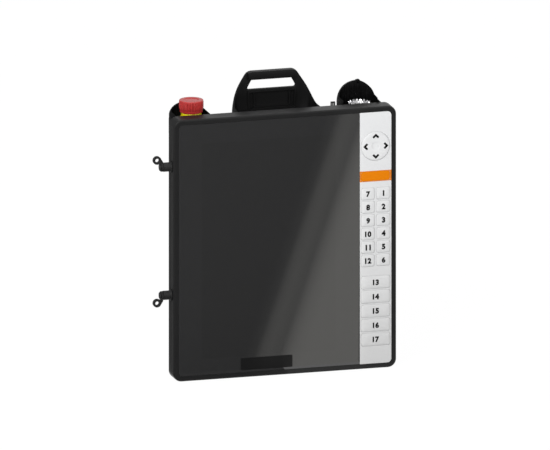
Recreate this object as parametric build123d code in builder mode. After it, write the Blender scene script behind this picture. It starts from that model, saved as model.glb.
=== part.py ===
from build123d import *
import os

# Handheld operator panel, in millimetres. +X is right, +Y is back, +Z is up.
# The origin is the middle of the front frame's flat bottom edge.
# Depths are counted backwards from the front face, see layer() below.

# Front frame: its width and height follow from the display, its borders and the keypad column
frame_depth = 22.5
frame_corner = 10.0
frame_front_round = 2.2
frame_back_round = 1.5
frame_wall = 3.5
lip = 6.0
recess_corner = 5.0
ledge_thickness = 2.5
flange_thickness = 2.5
flange_side = 23.2
flange_top = 21.0
flange_bottom = 43.0

# Glass, display and the bare plate on the glass
glass_step = 0.3
glass_thickness = 2.7
edge_gap = 0.15
display_width = 176.0
display_height = 275.0
border_left = 22.4
border_right = 23.25
border_top = 16.0
border_bottom = 14.0
display_thickness = 8.5
window_gap = 2.3
plate_width = 63.0
plate_height = 14.4
plate_thickness = 0.5
plate_shift = 0.3
plate_rise = 14.2

# Keypad column: the small keys share the height that the other keys leave
keypad_width = 38.75
divider_wall = 2.3
tray_depth = 8.5
tray_thickness = 2.0
panel_thickness = 2.0
skirt_wall = 1.3
board_thickness = 1.6
keymat_thickness = 2.1
key_proud = 1.2
key_travel = 0.8
key_clearance = 0.3
key_flange = 0.6
key_flange_thickness = 1.0
key_corner = 2.2
key_round = 0.9
small_key_rows = 6
key_gap_x = 2.6
key_gap_z = 2.2
key_field_drop = 97.9
key_field_foot = 27.75
key_group_gap = 12.05
key_side_margin = 1.875
wide_key_height = 15.1
wide_key_rows = 5
operator_key_height = 11.4
operator_key_drop = 83.7
nav_side_margin = 1.975
nav_drop = 47.4
nav_clearance = 0.4
nav_dimple_radius = 5.0
nav_hub_radius = 3.0
nav_pivot_radius = 5.0
nav_pivot_thickness = 1.6

# Rear housing with its two hand grips
housing_side_inset = 9.2
housing_bottom = 29.0
housing_top_inset = 9.0
housing_reach = 30.5
housing_corner = 11.0
housing_round = 5.0
housing_inner_corner = 5.0
housing_wall = 3.0
grip_inset = 35.0
grip_width = 34.0
grip_foot = 42.0
grip_height = 180.0
grip_rise = 23.0
grip_corner = 14.0
grip_round = 6.0
grip_screw_inset = 15.0
grip_screw_reach = 10.0
grip_boss_radius = 4.0
grip_lead_radius = 5.0
gasket_width = 1.6
gasket_thickness = 1.2

# Screws
housing_screw_inset = 11.0
housing_screw_rises = (22.0, 102.0, 182.0)
top_screw_inset = 9.0
top_screw_from_stop = 34.3
top_screw_from_stylus = 17.5
column_radius = 4.5
column_length = 7.5
screw_radius = 1.5
screw_hole_radius = 1.7
screw_head_radius = 2.8
screw_head_height = 2.0
counterbore_radius = 3.2
housing_screw_reach = 9.0
board_screw_length = 5.5

# Circuit board and display brackets
bracket_height = 12.0
bracket_thickness = 2.0
bracket_rise = 61.0
bracket_drop = 59.0
bracket_reach_left = 10.2
bracket_reach_right = 11.8
bracket_boss_radius = 4.0
pad_thickness = 2.5
pad_radius = 3.5
main_board_inset = 4.0
main_board_margin = 20.5
main_board_screw_inset = 12.0
heat_spreader_side = 46.0
heat_spreader_height = 5.0
connector_height = 9.0

# Controls on the top edge, with their heights above the housing's top and their drops below it
control_setback = 14.0
control_hole_radius = 11.2
barrel_radius = 11.0
barrel_drop = 23.0
nut_outer_radius = 13.2
nut_thickness = 4.0
stop_inset = 31.9
stop_flare_radius = 13.8
stop_collar_radius = 12.0
stop_collar_height = 10.5
stop_flare_height = 7.3
stop_rim_height = 4.0
stem_radius = 7.0
stem_clearance = 0.08
stem_drop = 24.0
stem_height = 15.0
neck_radius = 4.0
neck_clearance = 0.05
cap_skirt_height = 11.0
cap_height = 13.0
cap_radius = 14.5
cap_top_radius = 13.0
cap_bottom_radius = 13.4
cap_cavity_radius = 12.6
cap_cavity_height = 5.0
cap_roof = 3.0
cap_dish_radius = 9.5
cap_dish_depth = 0.8
cap_groove_radius = 0.65
cap_grooves = 48
cap_groove_margin = 2.4
cap_step = 0.7
nut_notch_radius = 0.9
block_width = 26.0
block_depth = 23.0
block_drop = 29.0
block_height = 22.0
block_collar_radius = 12.5
block_collar_height = 13.0
key_switch_inset = 35.2
ring_radius = 14.0
ring_inner_radius = 10.6
ring_height = 6.2
ring_notches = 24
ring_notch_radius = 1.0
ring_flange_height = 2.6
key_barrel_radius = 8.0
key_barrel_clearance = 0.06
key_barrel_recess = 1.6
key_slot_length = 9.0
key_slot_width = 2.4
key_slot_depth = 12.0

# Guards behind the two controls, and the hanging handle
guard_wall = 3.0
guard_reach = 5.0
guard_clearance = 0.3
guard_skirt_drop = 23.0
guard_ribs = 5
guard_rib_pitch = 6.0
guard_rib_width = 1.2
guard_rib_depth = 1.5
guard_nib_radius = 1.8
arch_shoulder_reach = 0.66
arch_shoulder_rise = 0.72
stop_guard_shift = 0.7
stop_guard_half_width = 23.7
stop_guard_corner = 13.0
stop_guard_rise = 17.3
key_guard_half_width = 26.0
key_guard_corner = 18.0
key_guard_rise = 28.6
key_guard_lean = 2.5
handle_reach = 9.7
handle_wall = 4.0
handle_base_half_width = 54.0
handle_plan_corner = 24.0
handle_skirt_drop = 45.0
handle_skirt_half_width = 33.0
handle_rise = 47.5
handle_top_half_width = 28.5
handle_shoulder_rise = 27.0
handle_shoulder_half_width = 40.8
handle_rim_round = 9.0
handle_grip_depth = 9.0
handle_apron_drop = 14.0
handle_rib_places = (21.5, 28.0)
handle_rib_width = 1.6
handle_rib_depth = 2.2
slot_rise = 25.5
slot_height = 12.5
slot_bottom_width = 60.0
slot_top_width = 47.0
slot_corner = 2.0
handle_screw_x = 22.0
handle_screw_drop = 23.0

# Stylus and its well
stylus_spacing = 33.5
stylus_setback = 11.5
stylus_radius = 4.0
stylus_length = 104.0
stylus_clearance = 0.1
well_wall = 1.6
well_floor = 2.0
well_rim = 1.2
stylus_proud = 2.2
stylus_tip_length = 9.0
stylus_tip_radius = 1.2
loop_radius = 2.7
loop_hole_radius = 1.5
loop_thickness = 1.6

# Enabling switches in the grips
enable_drop = 60.0
enable_width = 11.0
enable_height = 56.0
enable_block_clearance = 1.8
enable_round = 1.5
enable_proud = 3.0
enable_travel = 4.5
enable_flange = 1.5
enable_flange_thickness = 2.5
enable_clearance = 0.3

# Cable gland under the housing
gland_x = 60.0
gland_setback = 15.5
gland_thread_radius = 8.0
gland_hex_radius = 11.5
gland_hex_height = 6.0
gland_spigot_length = 9.0
gland_bore_radius = 6.2
gland_cap_radius = 10.5
gland_cap_length = 15.0
gland_seal_length = 12.0
gland_cable_radius = 4.2

# Strap posts on the left side
strap_drops = {"upper": 58.0, "lower": 213.5}
post_radius = 5.5
post_length = 9.8
post_flange_radius = 6.8
post_flange_thickness = 1.5
strap_pin_radius = 2.5
strap_pin_clearance = 0.06
strap_pin_head_radius = 4.0
strap_pin_head_thickness = 1.2
eyelet_hub_radius = 5.2
eyelet_hub_thickness = 2.7
eyelet_gap = 0.3
eyelet_ring_radius = 5.0
eyelet_hole_radius = 2.3
eyelet_reach = 7.2
eyelet_rise = 8.8
eyelet_thickness = 3.2

os.makedirs("parts", exist_ok=True)

# Places across and up the front
recess_width = border_left + display_width + border_right + keypad_width
recess_height = border_bottom + display_height + border_top
frame_width = recess_width + 2 * lip
frame_height = recess_height + 2 * lip
middle_z = frame_height / 2
left_x = -frame_width / 2
display_left = border_left - recess_width / 2
display_right = display_left + display_width
display_bottom = lip + border_bottom
display_top = display_bottom + display_height
display_center_x = (display_left + display_right) / 2
display_center_z = (display_bottom + display_top) / 2
plate_center_x = display_center_x + plate_shift
plate_center_z = lip + plate_rise
seam_x = recess_width / 2 - keypad_width
tray_x = seam_x - edge_gap - divider_wall
keypad_center_x = seam_x + keypad_width / 2
cavity_width = frame_width - 2 * frame_wall
cavity_height = frame_height - 2 * frame_wall
wide_key_width = keypad_width - 2 * key_side_margin
small_key_width = (wide_key_width - key_gap_x) / 2
small_key_pitch_x = small_key_width + key_gap_x
nav_radius = keypad_width / 2 - nav_side_margin
wide_key_pitch_z = wide_key_height + key_gap_z
wide_group_height = wide_key_rows * wide_key_pitch_z - key_gap_z
small_group_height = frame_height - key_field_drop - key_group_gap - wide_group_height - key_field_foot
small_key_pitch_z = (small_group_height + key_gap_z) / small_key_rows
small_key_height = small_key_pitch_z - key_gap_z
small_key_first_drop = key_field_drop + small_key_height / 2
wide_key_first_drop = key_field_drop + small_group_height + key_group_gap + wide_key_height / 2

# Places on the rear housing and in it
housing_width = frame_width - 2 * housing_side_inset
housing_top = frame_height - housing_top_inset
housing_height = housing_top - housing_bottom
housing_center_z = housing_bottom + housing_height / 2
housing_depth = frame_depth + housing_reach
ledge_depth = glass_step + glass_thickness
column_floor = frame_depth + column_length
grip_center_x = housing_width / 2 - grip_inset
grip_bottom = housing_bottom + grip_foot
grip_top = grip_bottom + grip_height
grip_center_z = (grip_bottom + grip_top) / 2
grip_depth = housing_depth + grip_rise
enable_center_z = grip_top - enable_drop
enable_depth = housing_depth + (grip_rise - housing_wall) / 2
enable_block_width = grip_rise - housing_wall - 2 * enable_block_clearance
bracket_heights = (display_bottom + bracket_rise, display_top - bracket_drop)
bracket_boss_left = display_left - bracket_reach_left
bracket_boss_right = display_right + bracket_reach_right
main_board_width = display_width - 2 * main_board_inset
main_board_height = bracket_heights[1] - bracket_heights[0] + 2 * main_board_margin
main_board_screw_x = main_board_width / 2 - main_board_screw_inset
gland_depth = frame_depth + gland_setback

# Places on the top edge
front_y = -frame_depth / 2
control_depth = frame_depth + control_setback
control_y = front_y + control_depth
stop_x = left_x + stop_inset
key_switch_x = frame_width / 2 - key_switch_inset
stylus_x = key_switch_x - stylus_spacing
stylus_depth = frame_depth + stylus_setback
barrel_bottom = housing_top - barrel_drop
stop_collar_top = housing_top + stop_collar_height
stop_flare_top = housing_top + stop_flare_height
stop_flare_bottom = housing_top + stop_rim_height
stem_bottom = housing_top - stem_drop
stem_shoulder = housing_top + stem_height
cap_bottom = housing_top + cap_skirt_height
cap_top = cap_bottom + cap_height
block_top = housing_top - block_drop
block_bottom = block_top - block_height
block_collar_top = block_top + block_collar_height
ring_top = housing_top + ring_height
key_barrel_top = ring_top - key_barrel_recess
guard_back = housing_depth + guard_reach
guard_front = frame_depth + guard_clearance
guard_skirt_bottom = housing_top - guard_skirt_drop
stop_guard_x = stop_x - stop_guard_shift
handle_back = housing_depth + handle_reach
handle_front = frame_depth + guard_clearance
handle_skirt_bottom = housing_top - handle_skirt_drop
handle_apron_bottom = housing_top - handle_apron_drop
handle_shoulder = housing_top + handle_shoulder_rise
handle_top = housing_top + handle_rise
slot_bottom = housing_top + slot_rise
slot_top = slot_bottom + slot_height
handle_screw_z = housing_top - handle_screw_drop


def layer(depth):
    """Plane facing the front at a depth: its x is +X, its y is +Z, and extrudes come forwards."""
    return Plane(origin=(0, front_y + depth, 0), x_dir=(1, 0, 0), z_dir=(0, -1, 0))


def side_layer(x):
    """Plane facing left at a given X: its x is +Y, its y is -Z, and extrudes go left."""
    return Plane(origin=(x, 0, 0), x_dir=(0, 1, 0), z_dir=(-1, 0, 0))


def frame_box(width, height, corner):
    """Draw a rounded rectangle on the middle of the front frame."""
    with Locations((0, middle_z)):
        RectangleRounded(width, height, corner)


def right_of_seam(x, mode):
    """Draw the band of the front from X = x to the frame's right edge."""
    with Locations((x, middle_z)):
        Rectangle(frame_width, frame_height, align=(Align.MIN, Align.CENTER), mode=mode)


def inner_flank(side, inset):
    """Plane on a grip's inner flank, drawn in by an inset: its x is up, and extrudes go to the middle."""
    x = side * (grip_center_x - grip_width / 2 + inset)
    return Plane(origin=(x, front_y + enable_depth, enable_center_z), x_dir=(0, 0, 1), z_dir=(-side, 0, 0))


housing_screw_x = housing_width / 2 - housing_screw_inset
top_screw_z = housing_top - top_screw_inset
housing_screw_places = [
    (side * housing_screw_x, housing_bottom + rise) for side in (-1, 1) for rise in housing_screw_rises
]
housing_screw_places += [(stop_x + top_screw_from_stop, top_screw_z), (stylus_x - top_screw_from_stylus, top_screw_z)]
grip_screw_heights = (grip_bottom + grip_screw_inset, grip_top - grip_screw_inset)
grip_screw_places = [(side * grip_center_x, z) for side in (-1, 1) for z in grip_screw_heights]
bracket_boss_places = [(x, z) for x in (bracket_boss_left, bracket_boss_right) for z in bracket_heights]
main_board_screw_places = [
    (display_center_x + side * main_board_screw_x, z) for side in (-1, 1) for z in bracket_heights
]

# Front frame: a shallow tray, open at the back, with a ledge for the glass and a tray for the keypad
with BuildPart() as front_frame:
    with BuildSketch(layer(frame_depth)):
        frame_box(frame_width, frame_height, frame_corner)
    extrude(amount=frame_depth)
    fillet(front_frame.faces().sort_by(Axis.Y)[0].edges(), frame_front_round)
    fillet(front_frame.faces().sort_by(Axis.Y)[-1].edges(), frame_back_round)
    with BuildSketch(layer(ledge_depth)):
        frame_box(recess_width, recess_height, recess_corner)
    extrude(amount=ledge_depth, mode=Mode.SUBTRACT)
    with BuildSketch(layer(tray_depth)):
        frame_box(recess_width, recess_height, recess_corner)
        right_of_seam(seam_x - edge_gap, Mode.INTERSECT)
    extrude(amount=tray_depth - ledge_depth, mode=Mode.SUBTRACT)
    display_cavity_depth = frame_depth - flange_thickness - ledge_depth - ledge_thickness
    with BuildSketch(layer(frame_depth - flange_thickness)):
        frame_box(cavity_width, cavity_height, frame_corner - frame_wall)
        right_of_seam(tray_x, Mode.SUBTRACT)
    extrude(amount=display_cavity_depth, mode=Mode.SUBTRACT)
    keypad_cavity_depth = frame_depth - flange_thickness - tray_depth - tray_thickness
    with BuildSketch(layer(frame_depth - flange_thickness)):
        frame_box(cavity_width, cavity_height, frame_corner - frame_wall)
        right_of_seam(tray_x, Mode.INTERSECT)
    extrude(amount=keypad_cavity_depth, mode=Mode.SUBTRACT)
    with BuildSketch(layer(ledge_depth + ledge_thickness)):
        with Locations((display_center_x, display_center_z)):
            Rectangle(display_width + 2 * window_gap, display_height + 2 * window_gap)
    extrude(amount=ledge_thickness, mode=Mode.SUBTRACT)
    opening_height = frame_height - flange_top - flange_bottom
    with BuildSketch(layer(frame_depth)):
        with Locations((0, flange_bottom + opening_height / 2)):
            RectangleRounded(frame_width - 2 * flange_side, opening_height, housing_corner)
    extrude(amount=flange_thickness, mode=Mode.SUBTRACT)
    with BuildSketch(layer(frame_depth)):
        with Locations(*housing_screw_places):
            Circle(column_radius)
    extrude(amount=housing_screw_reach)
    with BuildSketch(layer(ledge_depth + display_thickness)):
        with Locations(*bracket_boss_places):
            Circle(bracket_boss_radius)
    extrude(amount=display_thickness - ledge_thickness)
    with BuildSketch(layer(frame_depth)):
        with Locations(*housing_screw_places):
            Circle(screw_radius)
    extrude(amount=housing_screw_reach - screw_radius, mode=Mode.SUBTRACT)
    with BuildSketch(layer(ledge_depth + display_thickness)):
        with Locations(*bracket_boss_places):
            Circle(screw_radius)
    extrude(amount=board_screw_length - bracket_thickness + screw_radius / 2, mode=Mode.SUBTRACT)
    with BuildSketch(layer(frame_depth)):
        with Locations((0, housing_center_z)):
            RectangleRounded(housing_width - housing_wall + gasket_width,
                             housing_height - housing_wall + gasket_width, housing_corner)
            RectangleRounded(housing_width - housing_wall - gasket_width,
                             housing_height - housing_wall - gasket_width,
                             housing_corner - gasket_width, mode=Mode.SUBTRACT)
    extrude(amount=gasket_thickness, mode=Mode.SUBTRACT)
    with BuildSketch(side_layer(left_x)):
        with Locations(*[(0, drop - frame_height) for drop in strap_drops.values()]):
            Circle(strap_pin_radius)
    extrude(amount=-frame_wall, mode=Mode.SUBTRACT)

# Seal between the front frame and the rear housing
with BuildPart() as housing_gasket:
    with BuildSketch(layer(frame_depth)):
        with Locations((0, housing_center_z)):
            RectangleRounded(housing_width - housing_wall + gasket_width,
                             housing_height - housing_wall + gasket_width, housing_corner)
            RectangleRounded(housing_width - housing_wall - gasket_width,
                             housing_height - housing_wall - gasket_width,
                             housing_corner - gasket_width, mode=Mode.SUBTRACT)
    extrude(amount=gasket_thickness)

# Touch glass, bonded into the recess left of the keypad
with BuildPart() as touch_glass:
    with BuildSketch(layer(ledge_depth)):
        frame_box(recess_width - 2 * edge_gap, recess_height - 2 * edge_gap, recess_corner - edge_gap)
        right_of_seam(seam_x - edge_gap, Mode.SUBTRACT)
    extrude(amount=glass_thickness)

# Bare plate stuck on the lower edge of the glass
with BuildPart() as blank_plate:
    with BuildSketch(layer(glass_step)):
        with Locations((plate_center_x, plate_center_z)):
            RectangleRounded(plate_width, plate_height, 1.0)
    extrude(amount=plate_thickness)

# Display module behind the glass, with a stepped back cover
with BuildPart() as lcd_module:
    with BuildSketch(layer(ledge_depth + display_thickness)):
        with Locations((display_center_x, display_center_z)):
            Rectangle(display_width, display_height)
    extrude(amount=display_thickness)
    chamfer(lcd_module.faces().sort_by(Axis.Y)[-1].edges(), 1.5)

# Two sheet brackets hold the display and carry the main board on pads
bracket_back = ledge_depth + display_thickness + bracket_thickness
with BuildPart() as lcd_brackets:
    bracket_span = bracket_boss_right - bracket_boss_left + 2 * bracket_boss_radius
    with BuildSketch(layer(bracket_back)):
        with Locations(*[((bracket_boss_left + bracket_boss_right) / 2, z) for z in bracket_heights]):
            RectangleRounded(bracket_span, bracket_height, 2.0)
    extrude(amount=bracket_thickness)
    with BuildSketch(layer(bracket_back + pad_thickness)):
        with Locations(*main_board_screw_places):
            Circle(pad_radius)
    extrude(amount=pad_thickness)
    with BuildSketch(layer(bracket_back)):
        with Locations(*bracket_boss_places):
            Circle(screw_hole_radius)
    extrude(amount=bracket_thickness, mode=Mode.SUBTRACT)
    with BuildSketch(layer(bracket_back + pad_thickness)):
        with Locations(*main_board_screw_places):
            Circle(screw_radius)
    extrude(amount=pad_thickness + bracket_thickness / 2, mode=Mode.SUBTRACT)

# Main circuit board with its heat spreader and cable connectors
board_back = bracket_back + pad_thickness + board_thickness
board_center_z = sum(bracket_heights) / 2
with BuildPart() as main_board:
    with BuildSketch(layer(board_back)):
        with Locations((display_center_x, board_center_z)):
            Rectangle(main_board_width, main_board_height)
    extrude(amount=board_thickness)
    with BuildSketch(layer(board_back)):
        with Locations((display_center_x, board_center_z)):
            Rectangle(heat_spreader_side, heat_spreader_side)
    extrude(amount=-heat_spreader_height)
    with BuildSketch(layer(board_back)):
        with Locations((display_center_x, board_center_z)):
            with GridLocations(main_board_width / 3, main_board_height * 0.9, 3, 2):
                Rectangle(main_board_width / 6, 2 * pad_radius)
    extrude(amount=-connector_height)
    with BuildSketch(layer(board_back)):
        with Locations(*main_board_screw_places):
            Circle(screw_hole_radius)
    extrude(amount=board_thickness, mode=Mode.SUBTRACT)


def pan_screw(place, seat_depth, length):
    """Add a screw that comes in from the back and seats its head at a depth."""
    with BuildSketch(layer(seat_depth)) as shank:
        with Locations(place):
            Circle(screw_radius)
    extrude(shank.sketch, amount=length)
    with BuildSketch(layer(seat_depth + screw_head_height)) as head:
        with Locations(place):
            Circle(screw_head_radius)
    extrude(head.sketch, amount=screw_head_height)
    with BuildSketch(layer(seat_depth + screw_head_height)) as socket:
        with Locations(place):
            RegularPolygon(screw_radius, 6)
    extrude(socket.sketch, amount=screw_head_height / 2, mode=Mode.SUBTRACT)


with BuildPart() as board_screws:
    for place in bracket_boss_places:
        pan_screw(place, bracket_back, board_screw_length)
    for place in main_board_screw_places:
        pan_screw(place, board_back, board_screw_length - bracket_thickness / 2)

with BuildPart() as housing_screws:
    for place in housing_screw_places:
        pan_screw(place, column_floor, column_floor - frame_depth + housing_screw_reach - 2 * screw_radius)
    with BuildSketch(layer(housing_depth + grip_screw_reach - screw_radius)):
        with Locations(*grip_screw_places):
            Circle(screw_radius)
    extrude(amount=grip_screw_reach - screw_radius + housing_wall)
    with BuildSketch(layer(housing_depth - housing_wall)):
        with Locations(*grip_screw_places):
            Circle(screw_head_radius)
    extrude(amount=screw_head_height)

# Keypad: a light panel with a skirt, keys held behind it, a silicone mat and a circuit board
key_rest_gap = key_clearance
board_front = tray_depth - board_thickness
keymat_front = board_front - keymat_thickness
panel_back = glass_step + panel_thickness
flange_front = panel_back + key_rest_gap
nav_place = (keypad_center_x, frame_height - nav_drop)


def key_rows(first_drop, pitch, rows):
    """Heights of a column of keys, from the top down."""
    return [frame_height - first_drop - row * pitch for row in range(rows)]


small_heights = key_rows(small_key_first_drop, small_key_pitch_z, small_key_rows)
wide_heights = key_rows(wide_key_first_drop, wide_key_pitch_z, wide_key_rows)
right_small = [(keypad_center_x + small_key_pitch_x / 2, z) for z in small_heights]
left_small = [(keypad_center_x - small_key_pitch_x / 2, z) for z in small_heights]
wide_places = [(keypad_center_x, z) for z in wide_heights]
key_table = {"operator_key": ((keypad_center_x, frame_height - operator_key_drop),
                              wide_key_width, operator_key_height)}
for number, place in enumerate(right_small + left_small, start=1):
    key_table[f"key_{number}"] = (place, small_key_width, small_key_height)
for number, place in enumerate(wide_places, start=2 * small_key_rows + 1):
    key_table[f"key_{number}"] = (place, wide_key_width, wide_key_height)


def key_outline(place, width, height, margin=0.0):
    """Draw a key's rounded outline, grown by a margin."""
    with Locations(place):
        RectangleRounded(width + 2 * margin, height + 2 * margin, key_corner + margin)


def inside_skirt(margin):
    """Draw the keypad column's outline, drawn in by a margin."""
    frame_box(recess_width - 2 * margin, recess_height - 2 * margin, recess_corner - margin)
    right_of_seam(seam_x + margin, Mode.INTERSECT)


with BuildPart() as keypad_panel:
    with BuildSketch(layer(tray_depth)):
        inside_skirt(edge_gap)
    extrude(amount=tray_depth - glass_step)
    with BuildSketch(layer(tray_depth)):
        inside_skirt(edge_gap + skirt_wall)
    extrude(amount=tray_depth - panel_back, mode=Mode.SUBTRACT)
    with BuildSketch(layer(panel_back)):
        for place, width, height in key_table.values():
            key_outline(place, width, height, key_clearance)
        with Locations(nav_place):
            Circle(nav_radius + nav_clearance)
    extrude(amount=panel_thickness, mode=Mode.SUBTRACT)

with BuildPart() as keypad_board:
    with BuildSketch(layer(tray_depth)):
        inside_skirt(edge_gap + skirt_wall + key_clearance)
    extrude(amount=board_thickness)

with BuildPart() as keymat:
    with BuildSketch(layer(board_front)):
        inside_skirt(edge_gap + skirt_wall + key_clearance)
    extrude(amount=keymat_thickness)

keys = {}
for name, (place, width, height) in key_table.items():
    with BuildPart() as key:
        with BuildSketch(layer(flange_front)):
            key_outline(place, width, height)
        extrude(amount=flange_front - glass_step + key_proud)
        fillet(key.faces().sort_by(Axis.Y)[0].edges(), key_round)
        with BuildSketch(layer(flange_front + key_flange_thickness)):
            key_outline(place, width, height + 2 * key_flange)
        extrude(amount=key_flange_thickness)
    keys[name] = key

# Four-way disc: it rocks on a small puck, which itself rocks the other way
disc_back = panel_back - glass_step / 2
hub_back = flange_front
pivot_front = keymat_front - key_rest_gap - nav_pivot_thickness
with BuildPart() as nav_disc:
    with BuildSketch(layer(disc_back)):
        with Locations(nav_place):
            Circle(nav_radius)
    extrude(amount=disc_back - glass_step + key_proud)
    fillet(nav_disc.faces().sort_by(Axis.Y)[0].edges(), key_round)
    with BuildSketch(layer(hub_back)):
        with Locations(nav_place):
            Circle(nav_hub_radius)
    extrude(amount=hub_back - disc_back)
    dimple_rise = 0.6
    dimple_sphere = (nav_dimple_radius ** 2 + dimple_rise ** 2) / (2 * dimple_rise)
    with Locations((nav_place[0], front_y + glass_step - key_proud + dimple_rise - dimple_sphere, nav_place[1])):
        Sphere(dimple_sphere, mode=Mode.SUBTRACT)

with BuildPart() as nav_pivot:
    with BuildSketch(layer(pivot_front + nav_pivot_thickness)):
        with Locations(nav_place):
            Circle(nav_pivot_radius)
    extrude(amount=nav_pivot_thickness)
    chamfer(nav_pivot.faces().sort_by(Axis.Y)[0].edges(), nav_pivot_thickness / 4)

# Rear housing: a deep tub with screw columns and holes for the controls
with BuildPart() as rear_housing:
    with BuildSketch(layer(housing_depth)):
        with Locations((0, housing_center_z)):
            RectangleRounded(housing_width, housing_height, housing_corner)
    extrude(amount=housing_depth - frame_depth)
    fillet(rear_housing.faces().sort_by(Axis.Y)[-1].edges(), housing_round)
    with BuildSketch(layer(housing_depth - housing_wall)):
        with Locations((0, housing_center_z)):
            RectangleRounded(housing_width - 2 * housing_wall, housing_height - 2 * housing_wall,
                             housing_inner_corner)
    extrude(amount=housing_depth - housing_wall - frame_depth, mode=Mode.SUBTRACT)
    with BuildSketch(layer(housing_depth - housing_wall / 2)):
        with Locations(*housing_screw_places):
            Circle(column_radius)
    extrude(amount=housing_depth - housing_wall / 2 - frame_depth)
    with BuildSketch(layer(housing_depth)):
        with Locations(*housing_screw_places):
            Circle(counterbore_radius)
    extrude(amount=housing_depth - column_floor, mode=Mode.SUBTRACT)
    with BuildSketch(layer(column_floor)):
        with Locations(*housing_screw_places):
            Circle(screw_hole_radius)
    extrude(amount=column_floor - frame_depth, mode=Mode.SUBTRACT)
    with BuildSketch(Plane.XY.offset(housing_top)):
        with Locations((stop_x, control_y), (key_switch_x, control_y)):
            Circle(control_hole_radius)
        with Locations((stylus_x, front_y + stylus_depth)):
            Circle(stylus_radius + stylus_clearance + well_wall + stylus_clearance)
    extrude(amount=-housing_wall, mode=Mode.SUBTRACT)
    with BuildSketch(Plane.XY.offset(housing_bottom)):
        with Locations((gland_x, front_y + gland_depth)):
            Circle(gland_thread_radius + stylus_clearance)
    extrude(amount=housing_wall, mode=Mode.SUBTRACT)
    with BuildSketch(layer(housing_depth)):
        with Locations((-handle_screw_x, handle_screw_z), (handle_screw_x, handle_screw_z)):
            Circle(screw_radius)
        with Locations(*grip_screw_places):
            Circle(screw_hole_radius)
        with Locations((-grip_center_x, enable_center_z), (grip_center_x, enable_center_z)):
            Circle(grip_lead_radius)
    extrude(amount=housing_wall, mode=Mode.SUBTRACT)


def hand_grip(side):
    """Build one hollow hand grip, seated on the housing's back and held by screws from inside."""
    with BuildPart() as grip:
        with BuildSketch(layer(grip_depth)):
            with Locations((side * grip_center_x, grip_center_z)):
                RectangleRounded(grip_width, grip_height, grip_corner)
        extrude(amount=grip_depth - housing_depth)
        fillet(grip.faces().sort_by(Axis.Y)[-1].edges(), grip_round)
        with BuildSketch(layer(grip_depth - housing_wall)):
            with Locations((side * grip_center_x, grip_center_z)):
                RectangleRounded(grip_width - 2 * housing_wall, grip_height - 2 * housing_wall,
                                 grip_corner - housing_wall)
        extrude(amount=grip_depth - housing_wall - housing_depth, mode=Mode.SUBTRACT)
        with BuildSketch(layer(grip_depth - housing_wall / 2)):
            with Locations(*[place for place in grip_screw_places if place[0] * side > 0]):
                Circle(grip_boss_radius)
        extrude(amount=grip_depth - housing_wall / 2 - housing_depth)
        with BuildSketch(layer(housing_depth + grip_screw_reach)):
            with Locations(*[place for place in grip_screw_places if place[0] * side > 0]):
                Circle(screw_radius)
        extrude(amount=grip_screw_reach, mode=Mode.SUBTRACT)
        with BuildSketch(inner_flank(side, housing_wall)):
            SlotOverall(enable_height + 2 * enable_clearance, enable_width + 2 * enable_clearance)
        extrude(amount=housing_wall, mode=Mode.SUBTRACT)
    return grip


hand_grip_left = hand_grip(-1)
hand_grip_right = hand_grip(1)


def grip_button(side):
    """Build one enabling button, a rounded bar with a retaining flange behind the grip's wall."""
    flange_inset = housing_wall + enable_clearance
    with BuildPart() as button:
        with BuildSketch(inner_flank(side, flange_inset)):
            SlotOverall(enable_height, enable_width)
        extrude(amount=flange_inset + enable_proud)
        fillet(button.faces().sort_by(Axis.X)[-1 if side < 0 else 0].edges(), enable_round)
        with BuildSketch(inner_flank(side, flange_inset)):
            SlotOverall(enable_height + 2 * enable_flange, enable_width + 2 * enable_flange)
        extrude(amount=-enable_flange_thickness)
    return button


def grip_switch(side):
    """Build the switch block behind one enabling button, seated on the grip's far wall."""
    block_inset = housing_wall + enable_flange_thickness + enable_travel + 2 * enable_clearance
    with BuildPart() as block:
        with BuildSketch(inner_flank(side, grip_width - housing_wall)):
            Rectangle(enable_height, enable_block_width)
        extrude(amount=grip_width - housing_wall - block_inset)
    return block


enabling_button_left = grip_button(-1)
enabling_button_right = grip_button(1)
enabling_switch_left = grip_switch(-1)
enabling_switch_right = grip_switch(1)


def barrel(x, top, bore_radius):
    """Add a control's threaded barrel, from its foot to a given height, with a bore right through."""
    with BuildSketch(Plane.XY.offset(barrel_bottom)) as ring:
        with Locations((x, control_y)):
            Circle(barrel_radius)
            Circle(bore_radius, mode=Mode.SUBTRACT)
    extrude(ring.sketch, amount=top - barrel_bottom)


def ring_nut(x):
    """Build the notched ring nut that clamps a control under the housing's top wall."""
    with BuildPart() as nut:
        with BuildSketch(Plane.XY.offset(housing_top - housing_wall)):
            with Locations((x, control_y)):
                Circle(nut_outer_radius)
                Circle(barrel_radius + stem_clearance, mode=Mode.SUBTRACT)
                with PolarLocations(nut_outer_radius, 6):
                    Circle(nut_notch_radius, mode=Mode.SUBTRACT)
        extrude(amount=-nut_thickness)
    return nut


def contact_block(x):
    """Build the contact block that hangs on a control's barrel, with its two rows of terminals."""
    with BuildPart() as block:
        with BuildSketch(Plane.XY.offset(block_bottom)):
            with Locations((x, control_y)):
                Rectangle(block_width, block_depth)
        extrude(amount=block_top - block_bottom)
        with BuildSketch(Plane.XY.offset(block_top)):
            with Locations((x, control_y)):
                Circle(block_collar_radius - 1.0)
                Circle(block_collar_radius)
                Circle(barrel_radius + stem_clearance, mode=Mode.SUBTRACT)
        extrude(amount=block_collar_top - block_top)
    return block


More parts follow.
